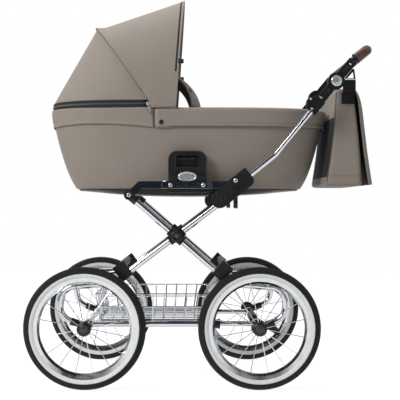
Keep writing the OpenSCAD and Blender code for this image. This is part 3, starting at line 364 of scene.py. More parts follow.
rivet = round_head("rivet_blank", 0.0034, 0.0016)
housing_face = -0.2395
for number, (x, y, z, body) in enumerate((
    (0.1190, housing_face, 0.5620, "front_leg"), (0.1305, housing_face, 0.5655, "front_leg"),
    (0.1452, housing_face, 0.5478, "front_leg"), (0.1575, housing_face, 0.5500, "front_leg"),
    (0.4375, -0.2350, 0.8495, "front_leg"), (0.4066, -0.2400, 0.8456, "front_leg"),
    (0.4099, -0.2400, 0.8169, "front_leg"), (0.5236, -0.2350, 0.9480, "handle"),
    (0.1213, -0.2605, 0.3481, "rear_leg"), (-0.1158, -0.2355, 0.3468, "front_leg"),
), 1):
    metal = black_nylon if number < 5 else chrome
    fit_pair(copied(rivet, f"chassis_rivet_{number}_left", (x, y, z)), metal, body)
bpy.data.objects.remove(rivet)
bolt = round_head("bolt_blank", 0.0062, 0.0022)
for name, x, y, z, body in (
    ("lever_bolt", 0.18563, -0.2455, 0.60601, "front_leg"),
    ("seat_bar_bolt_front", -0.0056, -0.2335, 0.5925, "seat_bars"),
    ("seat_bar_bolt_rear", 0.0912, -0.2335, 0.5925, "seat_bars"),
    ("leg_top_bolt", -0.12611, -0.2655, 0.56306, "rear_leg"),
):
    fit_pair(copied(bolt, name + "_left", (x, y, z)), chrome, body)
bpy.data.objects.remove(bolt)

# A knob covers each cross pivot: a black moulded ring, pushed over the pivot bolt's head, which
# shows in its middle.
knob = disc_blank("cross_knob_left", 40, 0.0165, 0.008, (0.012, -0.2665, 0.443))
pick(knob, lambda c, n: n.y < -0.9)
for inward, out in ((0.0035, 0.0022), (0.0065, 0.0), (0.0004, -0.0085)):
    step(inward, out)
soften(knob, 0.0006)
fit_pair(knob, black_nylon, "rear_leg")


# A bright steel strap joins each seat bar to its socket. It is pressed from flat bar, joggled at
# both ends so that it lies down on the bar, and bolted through.
def block_blank(name, place, scale, turn=(0, 0, 0)):
    """Starts a piece from a block of a size, at a place."""
    bpy.ops.object.select_all(action="DESELECT")
    bpy.ops.mesh.primitive_cube_add(size=1, location=place, rotation=turn, scale=scale)
    return added(name)


def cut_across(piece, places):
    """Cuts a piece straight across at several places along the pram."""
    for x in places:
        pick(piece)
        bpy.ops.mesh.bisect(plane_co=(x, 0, 0), plane_no=(1, 0, 0))
    bpy.ops.object.mode_set(mode="OBJECT")


strap = block_blank("seat_bar_strap_left", (0.0425, -0.2319, 0.5935), (0.147, 0.0050, 0.0216))
cut_across(strap, (-0.0275, -0.0175, 0.1025, 0.1125))
pick(strap, lambda co: (co.x < -0.02 or co.x > 0.105) and co.y < -0.232, "VERT")
bpy.ops.transform.translate(value=(0, 0.0042, 0))
soften(strap, 0.0008, over=60, shade=20)
fit_pair(strap, chrome, "seat_bars")

# Each fold lever ends in a pressed finger tab of the same chromed steel, turned outwards so that it
# can be pulled.
tab = block_blank("lever_tab_left", (0.18563, -0.2437, 0.5315), (0.0132, 0.0024, 0.0115))
pick(tab, lambda c, n: n.z < -0.9)
bpy.ops.mesh.extrude_region_move(TRANSFORM_OT_translate={"value": (0, -0.0022, -0.0022)})
bpy.ops.mesh.extrude_region_move(TRANSFORM_OT_translate={"value": (0, -0.0030, 0)})
soften(tab, 0.0009, 3)
fit_pair(tab, chrome, "lever_left")

# Ribs stiffen the flat black arms of the handle. They are moulded with the arms, so they have the
# same grain and a soft edge.
tilt = Vector((0.482, 0, 0.898))
arm_way = Vector((0.6363, 0, 0.7714))
for name, start, end, body in (("lower", -0.058, -0.031, "front_leg"), ("upper", 0.030, 0.056, "handle")):
    middle = tilt + arm_way * (start + end) / 2
    rib = block_blank(f"arm_rib_{name}_left", (middle.x, -0.2353, middle.z), (end - start, 0.0022, 0.012),
                      (0, -math.atan2(arm_way.z, arm_way.x), 0))
    pick(rib, lambda c, n: n.y < -0.9)
    step(0.0022, -0.0012)
    soften(rib, 0.0006)
    fit_pair(rib, black_nylon, body)

# The tilt buttons are moulded domes with a silver lacquer, whose flake is drawn at 1.5 mm to show. A
# button is pressed into each pivot housing to free the handle.
silver_lacquer, _, _ = mottled("silver_lacquered_abs", 0.0015, 2.0, ("b9bdbf", "dfe3e4"), (0.2, 0.32),
                               metallic=0.75)
button = disc_blank("tilt_dome_left", 48, 0.0157, 0.0067, (tilt.x, -0.24065, tilt.z))
for inward, out in ((0.002, 0.0012), (0.0028, 0.0003), (0.0008, -0.0006), (0.0022, 0.0006), (0.003, 0.0004)):
    pick(button, lambda c, n: n.y < -0.95 and (Vector((c.x, 0, c.z)) - tilt).length < 0.001)
    step(inward, out)
soften(button, 0.0004, shade=40)
near, far = fit_pair(button, silver_lacquer, "button_left")
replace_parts(near, "tilt_button_left")
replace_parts(far, "tilt_button_right")

# The foot brake's plate carries a ribbed tread of moulded rubber, dull and a little gritty, glued on
# so that a wet shoe doesn't slip.
black_rubber, tree, shader = mottled("moulded_black_rubber", 0.002, 3.0, ("17181a", "26272a"), 0.75)
dented(tree, shader, "TexNoise", 0.002, 0.3, 0.0005, Detail=3.0)
tread_start, tread_length, strips = 0.053, 0.036, 13
pad = block_blank("brake_tread", (0.071, 0, 0.0068), (tread_length, 0.112, 0.0024))
cut_across(pad, [tread_start + tread_length * i / strips for i in range(1, strips)])
pick(pad, lambda c, n: n.z > 0.9 and int((c.x - tread_start) / (tread_length / strips)) % 2 == 0)
bpy.ops.mesh.extrude_region_move(TRANSFORM_OT_translate={"value": (0, 0, 0.0016)})
apply_modifier(pad, "BEVEL", width=0.0004, segments=2, limit_method="ANGLE", angle_limit=math.radians(60))
pad.data.transform(Matrix.Translation((half_base, 0, axle_z)) @ Matrix.Rotation(math.radians(30), 4, "Y"))
fit(pad, black_rubber, "brake")

# The grip is brown leather, wrapped wet round the handle's bar and closed along its outer side by
# a sewn welt. Its dye is cloudy, and its pores are drawn at 2 mm to show.
brown_leather, tree, shader = mottled("vegetable_tanned_leather", 0.03, 5.0, ("3d2217", "5d3826"),
                                      (0.34, 0.5))
dented(tree, shader, "TexVoronoi", 0.0022, 0.35, 0.0006)
finish_node(brown_leather, "leather_grip")


def new_piece(name, points, faces):
    """A piece made from points and faces, shaded smooth."""
    mesh = bpy.data.meshes.new(name)
    mesh.from_pydata(points, [], faces)
    mesh.shade_smooth()
    piece = bpy.data.objects.new(name, mesh)
    bpy.context.scene.collection.objects.link(piece)
    return piece


def sweep(name, path, across, closed=False, up=None):
    """A tube along a path of points: across is its section, as (side, up) offsets in metres."""
    rings = []
    count = len(path)
    for i, p in enumerate(path):
        before = path[(i - 1) % count] if closed or i > 0 else p
        after = path[(i + 1) % count] if closed or i < count - 1 else p
        way = (after - before).normalized()
        lift = up[i] if isinstance(up, list) else up or Vector((0, 0, 1))
        side = way.cross(lift).normalized()
        top = side.cross(way)
        rings.append([p + side * a + top * b for a, b in across])
    points = [p for ring in rings for p in ring]
    n = len(across)
    last = count if closed else count - 1
    faces = [(i * n + j, i * n + (j + 1) % n, (i + 1) % count * n + (j + 1) % n, (i + 1) % count * n + j)
             for i in range(last) for j in range(n)]
    if not closed:
        faces += [tuple(range(n))[::-1], tuple(range((count - 1) * n, count * n))]
    piece = new_piece(name, points, faces)
    pick(piece)
    bpy.ops.mesh.normals_make_consistent(inside=False)
    bpy.ops.object.mode_set(mode="OBJECT")
    return piece


def round_section(radius, count=10):
    """A round section for a tube, as offsets from its middle."""
    return [(radius * math.cos(math.tau * i / count), radius * math.sin(math.tau * i / count))
            for i in range(count)]


def stitches(name, path, out, length=0.0045, gap=0.0022, thick=0.0009):
    """A row of sewn stitches along a path, each a short bowed thread; out is where the cloth faces."""
    points, faces = [], []
    done = 0.0
    spans = [(b - a).length for a, b in zip(path, path[1:])]
    total = sum(spans)

    def at(d):
        """The point at a distance along the path, and the way that the cloth faces there."""
        for a, b, span, face in zip(path, path[1:], spans, out):
            if d <= span or span == spans[-1] and b is path[-1]:
                return a + (b - a) * min(1.0, d / span), face
            d -= span
        return path[-1], out[-1]

    while done + length < total:
        first, face = at(done)
        last, _ = at(done + length)
        way = (last - first).normalized()
        side = way.cross(face).normalized() * thick / 2
        rise = face.normalized() * thick * 0.7
        start = len(points)
        for p, k, w in ((first, 0.0, 0.6), (first * 0.5 + last * 0.5, 1.0, 1.0), (last, 0.0, 0.6)):
            points += [p + side * w, p + rise * (0.4 + k), p - side * w]
        for corner in (start, start + 1, start + 3, start + 4):
            faces.append((corner, corner + 1, corner + 4, corner + 3))
        done += length + gap
    return new_piece(name, points, faces)


waxed_thread, _, _ = mottled("waxed_linen_thread", 0.0015, 1.0, ("8a6a50", "a98a6c"), 0.6)
grip_start = Vector((0.53227, 0, 0.95894))
grip_way = Vector((math.cos(math.radians(38)), 0, math.sin(math.radians(38))))
grip_top = Vector((-grip_way.z, 0, grip_way.x))
grip_half, grip_bend = 0.226, 0.045


def grip_line(off, lift=0.0):
    """The grip's outline on its outer side, off metres from its middle line, from left to right."""
    flat = [(0.012 + 0.001 * i, -grip_half - off) for i in range(4)]
    r = grip_bend + off
    flat += [(0.015 + r * math.sin(math.radians(a)), -0.181 - r * math.cos(math.radians(a)))
             for a in range(0, 91, 6)]
    flat += [(0.060 + off, -0.181 + 0.02 * i) for i in range(1, 10)]
    flat += [(x, -y) for x, y in reversed(flat)]
    return [grip_start + grip_way * x + Vector((0, y, 0)) + grip_top * lift for x, y in flat]


welt = sweep("grip_welt", grip_line(0.0150), round_section(0.0011, 8), up=grip_top)
fit(welt, brown_leather, "handle")
for name, lift in (("upper", 0.0032), ("lower", -0.0032)):
    line = grip_line(0.0149, lift)
    row = stitches(f"grip_stitch_{name}", line, [a - b for a, b in zip(line, grip_line(0.0))])
    fit(row, waxed_thread, "handle")

# A moulded ring closes each end of the leather where the bar comes out of the arm. It is black nylon,
# pushed on over the leather's cut edge.
ring_radius = 0.0142
ring_section = [(-0.0022, -0.0012), (0.0022, -0.0012), (0.0024, 0.0008), (0.0014, 0.0018),
                (-0.0014, 0.0018), (-0.0024, 0.0008)]
for side, name in ((-1, "left"), (1, "right")):
    middle = grip_start + grip_way * 0.0105 + Vector((0, side * grip_half, 0))
    ring_path = [middle + Vector((0, ring_radius * math.cos(a), 0)) + grip_top * ring_radius * math.sin(a)
                 for a in (math.tau * i / 32 for i in range(32))]
    ring = sweep(f"grip_end_ring_{name}", ring_path, ring_section, closed=True,
                 up=[p - middle for p in ring_path])
    fit(ring, black_nylon, "handle")

# The tub is a moulded shell, padded and covered in a taupe melange canvas that is glued down and
# stretched. Its threads are 0.6 mm apart, drawn at 2 mm to show.
taupe_canvas, tree, shader = new_material("taupe_melange_canvas")
cloth = node(tree, "UVMap")
thread_scale = math.pi / 10 / 0.002
weave_inputs = {"Vector": cloth.outputs["UV"], "Scale": thread_scale, "Distortion": 0.6, "Detail": 1.0}
warp = node(tree, "TexWave", weave_inputs, bands_direction="X")
weft = node(tree, "TexWave", weave_inputs, bands_direction="Y")
weave = node(tree, "Math", {0: warp.outputs["Fac"], 1: weft.outputs["Fac"]}, operation="MULTIPLY")
along_warp = node(tree, "Mapping", {"Vector": cloth.outputs["UV"], "Scale": (1 / 0.0012, 1 / 0.016, 1)})
fleck = node(tree, "TexNoise", {"Vector": along_warp.outputs[0], "Scale": 1.0, "Detail": 2.0})
cloud = node(tree, "TexNoise", {"Vector": cloth.outputs["UV"], "Scale": 1 / 0.09, "Detail": 3.0})
faint = node(tree, "Math", {0: cloud.outputs["Fac"], 1: 0.35}, operation="MULTIPLY")
yarn = node(tree, "Mix", {0: fleck.outputs["Fac"], 6: linear("7f756c"), 7: linear("958c83")},
            data_type="RGBA")
tone = node(tree, "Mix", {0: faint.outputs[0], 6: yarn.outputs[2], 7: linear("766c63")}, data_type="RGBA")
bump = node(tree, "Bump", {"Height": weave.outputs[0], "Strength": 0.22, "Distance": 0.0005})
wire_up(tree, shader, base_color=tone.outputs[2], normal=bump.outputs["Normal"], roughness=0.72,
        sheen_weight=0.12, sheen_roughness=0.4)
tub_rim, tub_floor = 0.819, 0.582


def signed_power(value, power):
    """A power of a value's size, with the value's sign."""
    return math.copysign(abs(value) ** power, value)


def oblong_point(x0, x1, half_width, z, a, square=3.2):
    """A point at angle a on a rounded oblong outline at one height."""
    return Vector(((x0 + x1) / 2 + (x1 - x0) / 2 * signed_power(math.cos(a), 2 / square),
                   half_width * signed_power(math.sin(a), 2 / square), z))


def oblong(x0, x1, half_width, z, square=3.2, count=120):
    """A rounded oblong ring of points at one height."""
    return [oblong_point(x0, x1, half_width, z, math.tau * i / count, square) for i in range(count)]


def tub_size(z, inset):
    """The tub's front, rear and half width at a height, drawn in from rim to floor and inset."""
    low = 1 - max(0.0, min(1.0, (z - tub_floor) / (tub_rim - tub_floor)))
    front = 0.063 * low ** 1.4 + 0.012 * low ** 8
    rear = 0.061 * low ** 1.25 + 0.014 * low ** 8
    side = 0.020 * low + 0.010 * low ** 8
    return -0.375 + front + inset, 0.472 - rear - inset, 0.205 - side - inset


def tub_ring(z, inset, flat=None, count=120):
    """The tub's outline at a height; flat puts it at another one."""
    return oblong(*tub_size(z, inset), z if flat is None else flat, count=count)


def cloth_mesh(name, rows, closed=False):
    """Joins rows of points by quads, with a UV map in metres that follows the cloth's threads."""
    count = len(rows[0])
    span = count if closed else count - 1
    faces = [(i * count + j, i * count + (j + 1) % count,
              (i + 1) * count + (j + 1) % count, (i + 1) * count + j)
             for i in range(len(rows) - 1) for j in range(span)]
    across = [0.0]
    for row, after in zip(rows, rows[1:]):
        across.append(across[-1] + sum((b - a).length for a, b in zip(row, after)) / count)
    middle = rows[len(rows) // 2]
    along = [0.0]
    for j in range(span):
        along.append(along[-1] + (middle[(j + 1) % count] - middle[j]).length)
    piece = new_piece(name, [p for row in rows for p in row], faces)
    threads = piece.data.uv_layers.new(name="threads")
    for face in piece.data.polygons:
        i, j = divmod(face.index, span)
        corners = ((j, i), (j + 1, i), (j + 1, i + 1), (j, i + 1))
        for loop, (u, v) in zip(face.loop_indices, corners):
            threads.data[loop].uv = (along[u], across[v])
    return piece


def closed_up(piece):
    """Closes the ends of a lofted piece and turns its faces outwards."""
    pick(piece)
    bpy.ops.mesh.fill_holes(sides=0)
    bpy.ops.mesh.normals_make_consistent(inside=False)
    bpy.ops.object.mode_set(mode="OBJECT")
    return piece


def outward(piece, inside):
    """Turns an open sheet's faces away from a point behind it."""
    if sum(face.normal.dot(face.center - Vector(inside)) * face.area for face in piece.data.polygons) < 0:
        piece.data.flip_normals()
    return piece


def rounded(piece):
    """Subdivides a piece of cloth once, so that its curves run smoothly."""
    apply_modifier(piece, "SUBSURF", levels=1, render_levels=1)


rows = [tub_ring(tub_floor, inset) for inset in (0.17, 0.05, 0.006)]
rows += [tub_ring(z, 0.0) for z in (0.584, 0.588, 0.596, 0.61, 0.635, 0.665, 0.70, 0.735, 0.76, 0.79, 0.81)]
rows += [tub_ring(tub_rim, inset, z) for inset, z in ((0.0005, tub_rim), (0.004, 0.8192), (0.009, 0.818))]
rows += [tub_ring(z, 0.0125) for z in (0.81, 0.77, 0.70, 0.64, 0.605)]
rows += [tub_ring(0.605, inset, z) for inset, z in ((0.03, 0.598), (0.10, 0.5965), (0.16, 0.5965))]
tub_cover = closed_up(cloth_mesh("tub_cover", rows, closed=True))
rounded(tub_cover)
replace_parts(fit(tub_cover, taupe_canvas, "bassinet"), "bassinet_shell")

# The carry brackets are dressed with a moulded edge, a raised lip round the hand slot and a lower
# panel with an arched top, all in one black moulding.
near_side = Vector((0, -1, 0))
bracket_face = -0.222
bracket_mid, bracket_half, bracket_low, bracket_top = 0.0445, 0.0555, 0.602, 0.693
bend = 0.024
edge_line = [Vector((bracket_mid - bracket_half, bracket_face, bracket_low + 0.0025 + 0.008 * i))
             for i in range(9)]
edge_line[-1].z = bracket_top - bend
edge_line += [Vector((bracket_mid - bracket_half + bend - bend * math.cos(math.radians(a)), bracket_face,
                      bracket_top - bend + bend * math.sin(math.radians(a)))) for a in range(9, 91, 9)]
edge_line += [Vector((2 * bracket_mid - p.x, p.y, p.z)) for p in reversed(edge_line)]
drawn_in = [p + Vector((bracket_mid - p.x, 0, 0.65 - p.z)).normalized() * 0.0014 for p in edge_line]
bead = sweep("bracket_edge_left", drawn_in, round_section(0.0022, 12), up=near_side)
fit_pair(bead, black_nylon, "bassinet")
slot_w, slot_h, slot_r, slot_mid = 0.069, 0.038, 0.007, 0.664
lip_line = []
for turn, sx, sz in ((0, 1, 1), (90, -1, 1), (180, -1, -1), (270, 1, -1)):
    for a in range(0, 91, 15):
        b = math.radians(turn + a)
        lip_line.append(Vector((bracket_mid + sx * (slot_w / 2 - slot_r) + slot_r * math.cos(b),
                                bracket_face - 0.0002,
                                slot_mid + sz * (slot_h / 2 - slot_r) + slot_r * math.sin(b))))
lip_section = [(-0.0018, -0.001), (0.0018, -0.001), (0.0018, 0.0008), (0.0009, 0.0016),
               (-0.0009, 0.0016), (-0.0018, 0.0008)]
lip = sweep("slot_lip_left", lip_line, lip_section, closed=True, up=near_side)
fit_pair(lip, black_nylon, "bassinet")


def slice_up(piece, half):
    """Cuts a piece of the bracket into 16 across its width, so that it can be arched."""
    cut_across(piece, [bracket_mid - half + 2 * half * i / 16 for i in range(1, 16)])


panel_half = 0.053
panel = block_blank("bracket_panel_left", (bracket_mid, bracket_face - 0.0008, 0.6156),
                    (2 * panel_half, 0.0028, 0.0212))
slice_up(panel, panel_half)
for point in panel.data.vertices:
    if point.co.z > 0.62:
        point.co.z += 0.0098 * (1 - ((point.co.x - bracket_mid) / panel_half) ** 2)
soften(panel, 0.0009, 3, over=50)
fit_pair(panel, black_nylon, "bassinet")

# A bare oval plate with a raised rim is pinned to each panel. It is moulded, and has the buttons'
# silver lacquer.
plate_x, plate_z = 0.0443, 0.6176
plate = disc_blank("oval_plate_left", 56, 0.5, 1, (plate_x, bracket_face - 0.003, plate_z),
                   scale=(0.0545, 0.0295, 0.0024))
for inward, out in ((0.0024, 0.0009), (0.0014, -0.0014), (0.0008, 0.0)):
    pick(plate, lambda c, n: n.y < -0.95 and abs(c.x - plate_x) < 0.002 and abs(c.z - plate_z) < 0.002)
    step(inward, out)
soften(plate, 0.0004)
fit_pair(plate, silver_lacquer, "bassinet")

# The release triggers are moulded bars in the hand slots. Each has an arched lower edge and a
# rounded lip where the fingers pull.
bar = block_blank("trigger_bar_left", (bracket_mid, -0.2093, 0.6702), (0.0636, 0.0119, 0.0096))
slice_up(bar, 0.0321)
for point in bar.data.vertices:
    if point.co.z < 0.67:
        point.co.z += 0.004 * max(0.0, 1 - ((point.co.x - bracket_mid) / 0.0282) ** 2)
pick(bar, lambda c, n: n.y < -0.9 and c.z < 0.6715)
step(0.0012, 0.0012)
soften(bar, 0.0008, over=50)
near, far = fit_pair(bar, black_nylon, "trigger_left")
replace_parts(near, "trigger_left")
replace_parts(far, "trigger_right")

# The mattress is a foam pad in a knitted cotton cover that lies loose in the tub. The knit's loops
# are drawn at 4 mm to show, and the cover is blown out by a short cloth simulation.
white_knit, tree, shader = mottled("cotton_knit", 0.08, 3.0, ("d9d4cb", "e6e2db"), 0.85)
dented(tree, shader, "TexVoronoi", 0.004, 0.4, 0.0008)


def puff(piece, voxel, cap, floor_z):
    """Blows a closed pad out by a short cloth simulation, within cap of its start and above a floor."""
    only(piece)
    piece.data.remesh_voxel_size = voxel
    bpy.ops.object.voxel_remesh()
    start = [point.co.copy() for point in piece.data.vertices]
    cover = piece.modifiers.new("Cover", "CLOTH")
    cover.settings.use_pressure = True
    cover.settings.uniform_pressure_force = 4
    cover.settings.effector_weights.gravity = 0
    for frame_number in range(1, 21):
        bpy.context.scene.frame_set(frame_number)
    bpy.ops.object.modifier_apply(modifier=cover.name)
    bpy.context.scene.frame_set(1)
    for point, first in zip(piece.data.vertices, start):
        move = point.co - first
        if move.length > cap:
            point.co = first + move * (cap / move.length)
        point.co.z = max(point.co.z, floor_z)


rows = [tub_ring(0.606, inset, z) for inset, z in (
    (0.16, 0.5972), (0.06, 0.5972), (0.036, 0.599), (0.027, 0.604), (0.025, 0.611), (0.027, 0.618),
    (0.036, 0.626), (0.055, 0.632), (0.09, 0.636), (0.14, 0.638), (0.165, 0.6385))]
mattress = closed_up(cloth_mesh("mattress_pad", rows, closed=True))
puff(mattress, voxel=0.006, cap=0.006, floor_z=0.597)
rounded(mattress)
mattress.data.shade_smooth()
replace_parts(fit(mattress, white_knit, "bassinet"), "mattress")

# The hood is canvas sewn over steel bows and lined in charcoal cotton, a matt cloth with a rib drawn
# at 3 mm to show. Its rear panel is sewn to the tub's edge, and its front panel turns about the
# pivots and slides over the rear one.
charcoal_lining, tree, shader = new_material("charcoal_cotton_lining")
cloth = node(tree, "UVMap")
ribs = node(tree, "TexWave", {"Vector": cloth.outputs["UV"], "Scale": math.pi / 10 / 0.003})
tone = node(tree, "Mix", {0: ribs.outputs["Fac"], 6: linear("1b1b1d"), 7: linear("29292c")},
            data_type="RGBA")
wire_up(tree, shader, base_color=tone.outputs[2], roughness=0.9)
hood_x, hood_z = -0.060, 0.829
hood_inside = (hood_x, 0, 0.85)
hood_round = 2 / 2.7


def arch(base, angle, reach, half, count=72, foot=0.3):
    """One bow's line across the hood, from its foot on the far side round to the near side."""
    row = []
    for j in range(count):
        a = math.radians(foot + (180 - 2 * foot) * j / (count - 1))
        r = reach * math.sin(a) ** hood_round
        row.append(Vector((base[0] + r * math.cos(angle), half * signed_power(math.cos(a), hood_round),
                           base[1] + r * math.sin(angle))))
    return row


def chord_reach(r0, r1, a0, a1, a):
    """How far a panel stretched straight between two bows stands from the pivot."""
    return r0 * r1 * math.sin(abs(a1 - a0)) / (r0 * math.sin(abs(a - a0)) + r1 * math.sin(abs(a1 - a)))


def lined(piece, thickness, body, inside, offset=1):
    """Gives a sheet of canvas its thickness, lined on the face towards inside, and a body to ride on."""
    fit(outward(piece, inside), taupe_canvas, body)
    piece.data.materials.append(charcoal_lining)
    apply_modifier(piece, "SOLIDIFY", thickness=thickness, offset=offset, material_offset=1)
    rounded(piece)
    return piece


edge, rear_bow = math.radians(180), math.radians(126)
rear_reach, bow_reach, rear_half = 0.311, 0.302, 0.202
band_top, bow_foot = 0.847, 0.834
foot_line = arch((hood_x, 0), edge, rear_reach, rear_half)
rows = [[Vector((p.x, p.y, z)) for p in foot_line] for z in (0.8195, 0.826, 0.835, band_top)]
for i in range(1, 19):
    a = edge + (rear_bow - edge) * i / 18
    base = (hood_x, band_top + (bow_foot - band_top) * i / 18)
    rows.append(arch(base, a, chord_reach(rear_reach, bow_reach, edge, rear_bow, a), rear_half))
rows.append(arch((hood_x, bow_foot), math.radians(124.6), 0.3072, 0.2103))
hood_back = lined(cloth_mesh("hood_rear_cover", rows), 0.003, "bassinet", hood_inside)
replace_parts(hood_back, "hood_rear")
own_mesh(hood_back)

front_half, visor_x = 0.212, 0.008
bow_top, brow_top = Vector((-0.2415, 1.0855)), Vector((0.034, 1.1695))
rows = []
for i in range(28):
    t = i / 27
    sag = 0.0095 * min(1.0, t / 0.1) * (1 - t ** 1.2)
    top = bow_top.lerp(brow_top, t) - Vector((0, sag))
    foot = Vector((hood_x + (visor_x - hood_x) * max(0.0, t - 0.4) / 0.6,
                   hood_z - 0.0145 * min(1.0, t * 4)))
    way = top - foot
    rows.append(arch(foot, math.atan2(way.y, way.x), way.length, front_half))
hood_front = lined(cloth_mesh("hood_front_cover", rows), 0.003, "hood", hood_inside)
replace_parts(hood_front, "hood_front")
seam_row, seam_next, visor_back, visor_edge = rows[0], rows[1], rows[-2], rows[-1]


# A piped cord closes the seam along the hood's middle bow. The visor's edge is bound with canvas, and
# a dark tape is sewn in behind the binding. A loop of ribbed black webbing hangs on each side.
def off_row(row, back, along, lift):
    """A hood row moved some metres along the cloth towards another row, and lifted off its face."""
    moved = []
    for p, q in zip(row, back):
        out = Vector((p.x - hood_x, p.y * 1.6, p.z - 0.85)).normalized()
        moved.append(p + (q - p).normalized() * along + out * lift)
    return moved


def from_pivot(line):
    """The ways from the hood's pivots out to the points of a line."""
    return [p - Vector((hood_x, 0, hood_z)) for p in line]


def visor_strip(name, steps, material, thickness, lift, low=0):
    """A strip of cloth along the visor, between distances from its edge, at a height off the inner face."""
    rows = [off_row(visor_edge, visor_back, along, lift) for along in steps]
    strip = cloth_mesh(name, [[p for p, q in zip(row, visor_edge) if q.z > low] for row in rows])
    fit(outward(strip, hood_inside), material, "hood")
    apply_modifier(strip, "SOLIDIFY", thickness=thickness, offset=1)


dark_piping, _, _ = mottled("piped_seam_cord", 0.003, 1.0, ("4c443e", "645a52"), 0.7)
seam = off_row(seam_row, seam_next, 0.0008, 0.0019)[2:-2]
piping = sweep("hood_seam_piping", seam, round_section(0.0013, 8), up=from_pivot(seam))
fit(piping, dark_piping, "hood")
visor_strip("visor_binding", (-0.0024, 0.0, 0.002, 0.0042), taupe_canvas, 0.0012, 0.0029)
visor_strip("visor_tape", (0.004, 0.006, 0.008, 0.0102), charcoal_lining, 0.0009, 0.0028, 0.925)
visor_strip("visor_facing", (-0.0016, 0.001, 0.01, 0.02), taupe_canvas, 0.0012, -0.0014)
black_webbing, tree, shader = new_material("woven_black_webbing")
place = node(tree, "TexCoord")
picks = node(tree, "TexWave", {"Vector": place.outputs["Object"], "Scale": math.pi / 10 / 0.0025},
             bands_direction="Z")
tone = node(tree, "Mix", {0: picks.outputs["Fac"], 6: linear("08080a"), 7: linear("161618")},
            data_type="RGBA")
bump = node(tree, "Bump", {"Height": picks.outputs["Fac"], "Strength": 0.4, "Distance": 0.0006})
wire_up(tree, shader, base_color=tone.outputs[2], normal=bump.outputs["Normal"], roughness=0.8)
loop_line = [Vector((0.0175 + 0.0155 * math.sin(math.pi * i / 12) ** 0.6,
                     -0.2075 + 0.0016 * math.cos(math.pi * i / 12), 0.9605)) for i in range(13)]
loop = sweep("visor_loop_left", loop_line,
             [(-0.0006, -0.0065), (0.0006, -0.0065), (0.0006, 0.0065), (-0.0006, 0.0065)])
fit_pair(loop, black_webbing, "hood")

# Two steel bows hold the front panel up. They are thin rods in black nylon tube, sewn into sleeves
# under the canvas.
for name, line, low in (("middle", off_row(seam_row, seam_next, 0.004, 0.0006), 0.86),
                        ("front", off_row(visor_edge, visor_back, 0.010, -0.0042), 0.835)):
    line = [p for p in line if p.z > low]
    rod = sweep(f"hood_bow_{name}", line, round_section(0.0018, 10), up=from_pivot(line))
    fit(rod, black_nylon, "hood")

# The vent zip runs round the hood's foot: a black tape, two rows of nickel teeth that are rubbed to a
# dull shine, and at each end a slider with a pull.
nickel, _, _ = mottled("brushed_nickel_zip", 0.004, 2.0, ("5e6063", "7c7e82"), 0.4, metallic=0.6)
tape_line = arch((hood_x, 0), edge, rear_reach + 0.0036, rear_half + 0.0036, 96, 0.9)
tape_rows = [[p + Vector((0, 0, z)) for p in tape_line] for z in (0.8248, 0.8290, 0.8355, 0.8420, 0.8464)]
tape = outward(cloth_mesh("zip_tape", tape_rows), hood_inside)
apply_modifier(fit(tape, black_webbing, "bassinet"), "SOLIDIFY", thickness=0.0012, offset=1)
teeth_line = arch((hood_x, 0), edge, rear_reach + 0.0048, rear_half + 0.0048, 160, 0.9)
for name, z in (("upper", 0.8366), ("lower", 0.8344)):
    line = [p + Vector((0, 0, z)) for p in teeth_line]
    if name == "lower":
        line[0] += (line[1] - line[0]) * 0.35
    out_ways = [Vector((p.x - hood_x - 0.05, p.y * 2, 0)) for p in line]
    teeth = stitches(f"zip_teeth_{name}", line, out_ways, length=0.0019, gap=0.0011, thick=0.0022)
    fit(teeth, nickel, "bassinet")
slider = block_blank("zip_slider_left", (-0.0705, -0.2092, 0.8350), (0.013, 0.0040, 0.0105))
pick(slider, lambda c, n: n.x > 0.9)
bpy.ops.transform.resize(value=(1, 1, 0.6))
pick(slider, lambda c, n: n.y < -0.9)
step(0.002, 0.0016)
soften(slider, 0.0007)
fit_pair(slider, silver_lacquer, "bassinet")
pull_x, pull_y, pull_neck = -0.0695, -0.2160, 0.8195
pull = disc_blank("zip_pull_left", 24, 0.5, 1, (pull_x, pull_y, 0.8175), scale=(0.0120, 0.0220, 0.0018))
pick(pull, lambda co: co.z > pull_neck, "VERT")
bpy.ops.transform.resize(value=(0.6, 1, 1.25), center_override=(pull_x, pull_y, pull_neck))
pick(pull, lambda c, n: n.y < -0.9)
step(0.0015, -0.0005)
soften(pull, 0.0003, over=40)
fit_pair(pull, silver_lacquer, "bassinet")

# The hood's skirt hangs outside the tub from below the zip. It is one strip of canvas with a turned
# hem that dips at both ends.
skirt_end, skirt_top = -0.050, 0.8248


def hem_height(x):
    """The skirt's lower edge, high along the side and lower at the front and at the ends."""
    return 0.777 - (0.013 * ((x + 0.25) / 0.2) ** 2 if x > -0.25 else 0.006 * ((x + 0.25) / 0.125) ** 2)


def rim_x(a):
    """How far along the pram the tub's rim is at an angle."""
    return oblong_point(*tub_size(tub_rim, 0), tub_rim, a).x


around = [a for a in (math.tau * i / 480 for i in range(480)) if rim_x(a) < skirt_end]
rows = []
for part, out in ((1.0, 0.0012), (0.985, 0.0028), (0.9, 0.0032), (0.7, 0.0034), (0.45, 0.0034),
                  (0.22, 0.0034), (0.13, 0.0034), (0.115, 0.0040), (0.06, 0.0042), (0.015, 0.0040),
                  (0.0, 0.0032)):
    row = []
    for a in around:
        low = hem_height(rim_x(a))
        z = low + (skirt_top - low) * part
        slack = 0.0006 * math.sin(a * 23) * (1 - part)
        row.append(oblong_point(*tub_size(min(z, tub_rim), -out - slack), z, a))
    rows.append(row)
hood_skirt = outward(cloth_mesh("hood_skirt", rows), (-0.1, 0, 0.8))
fit(hood_skirt, taupe_canvas, "bassinet")
apply_modifier(hood_skirt, "SOLIDIFY", thickness=0.0016, offset=0)

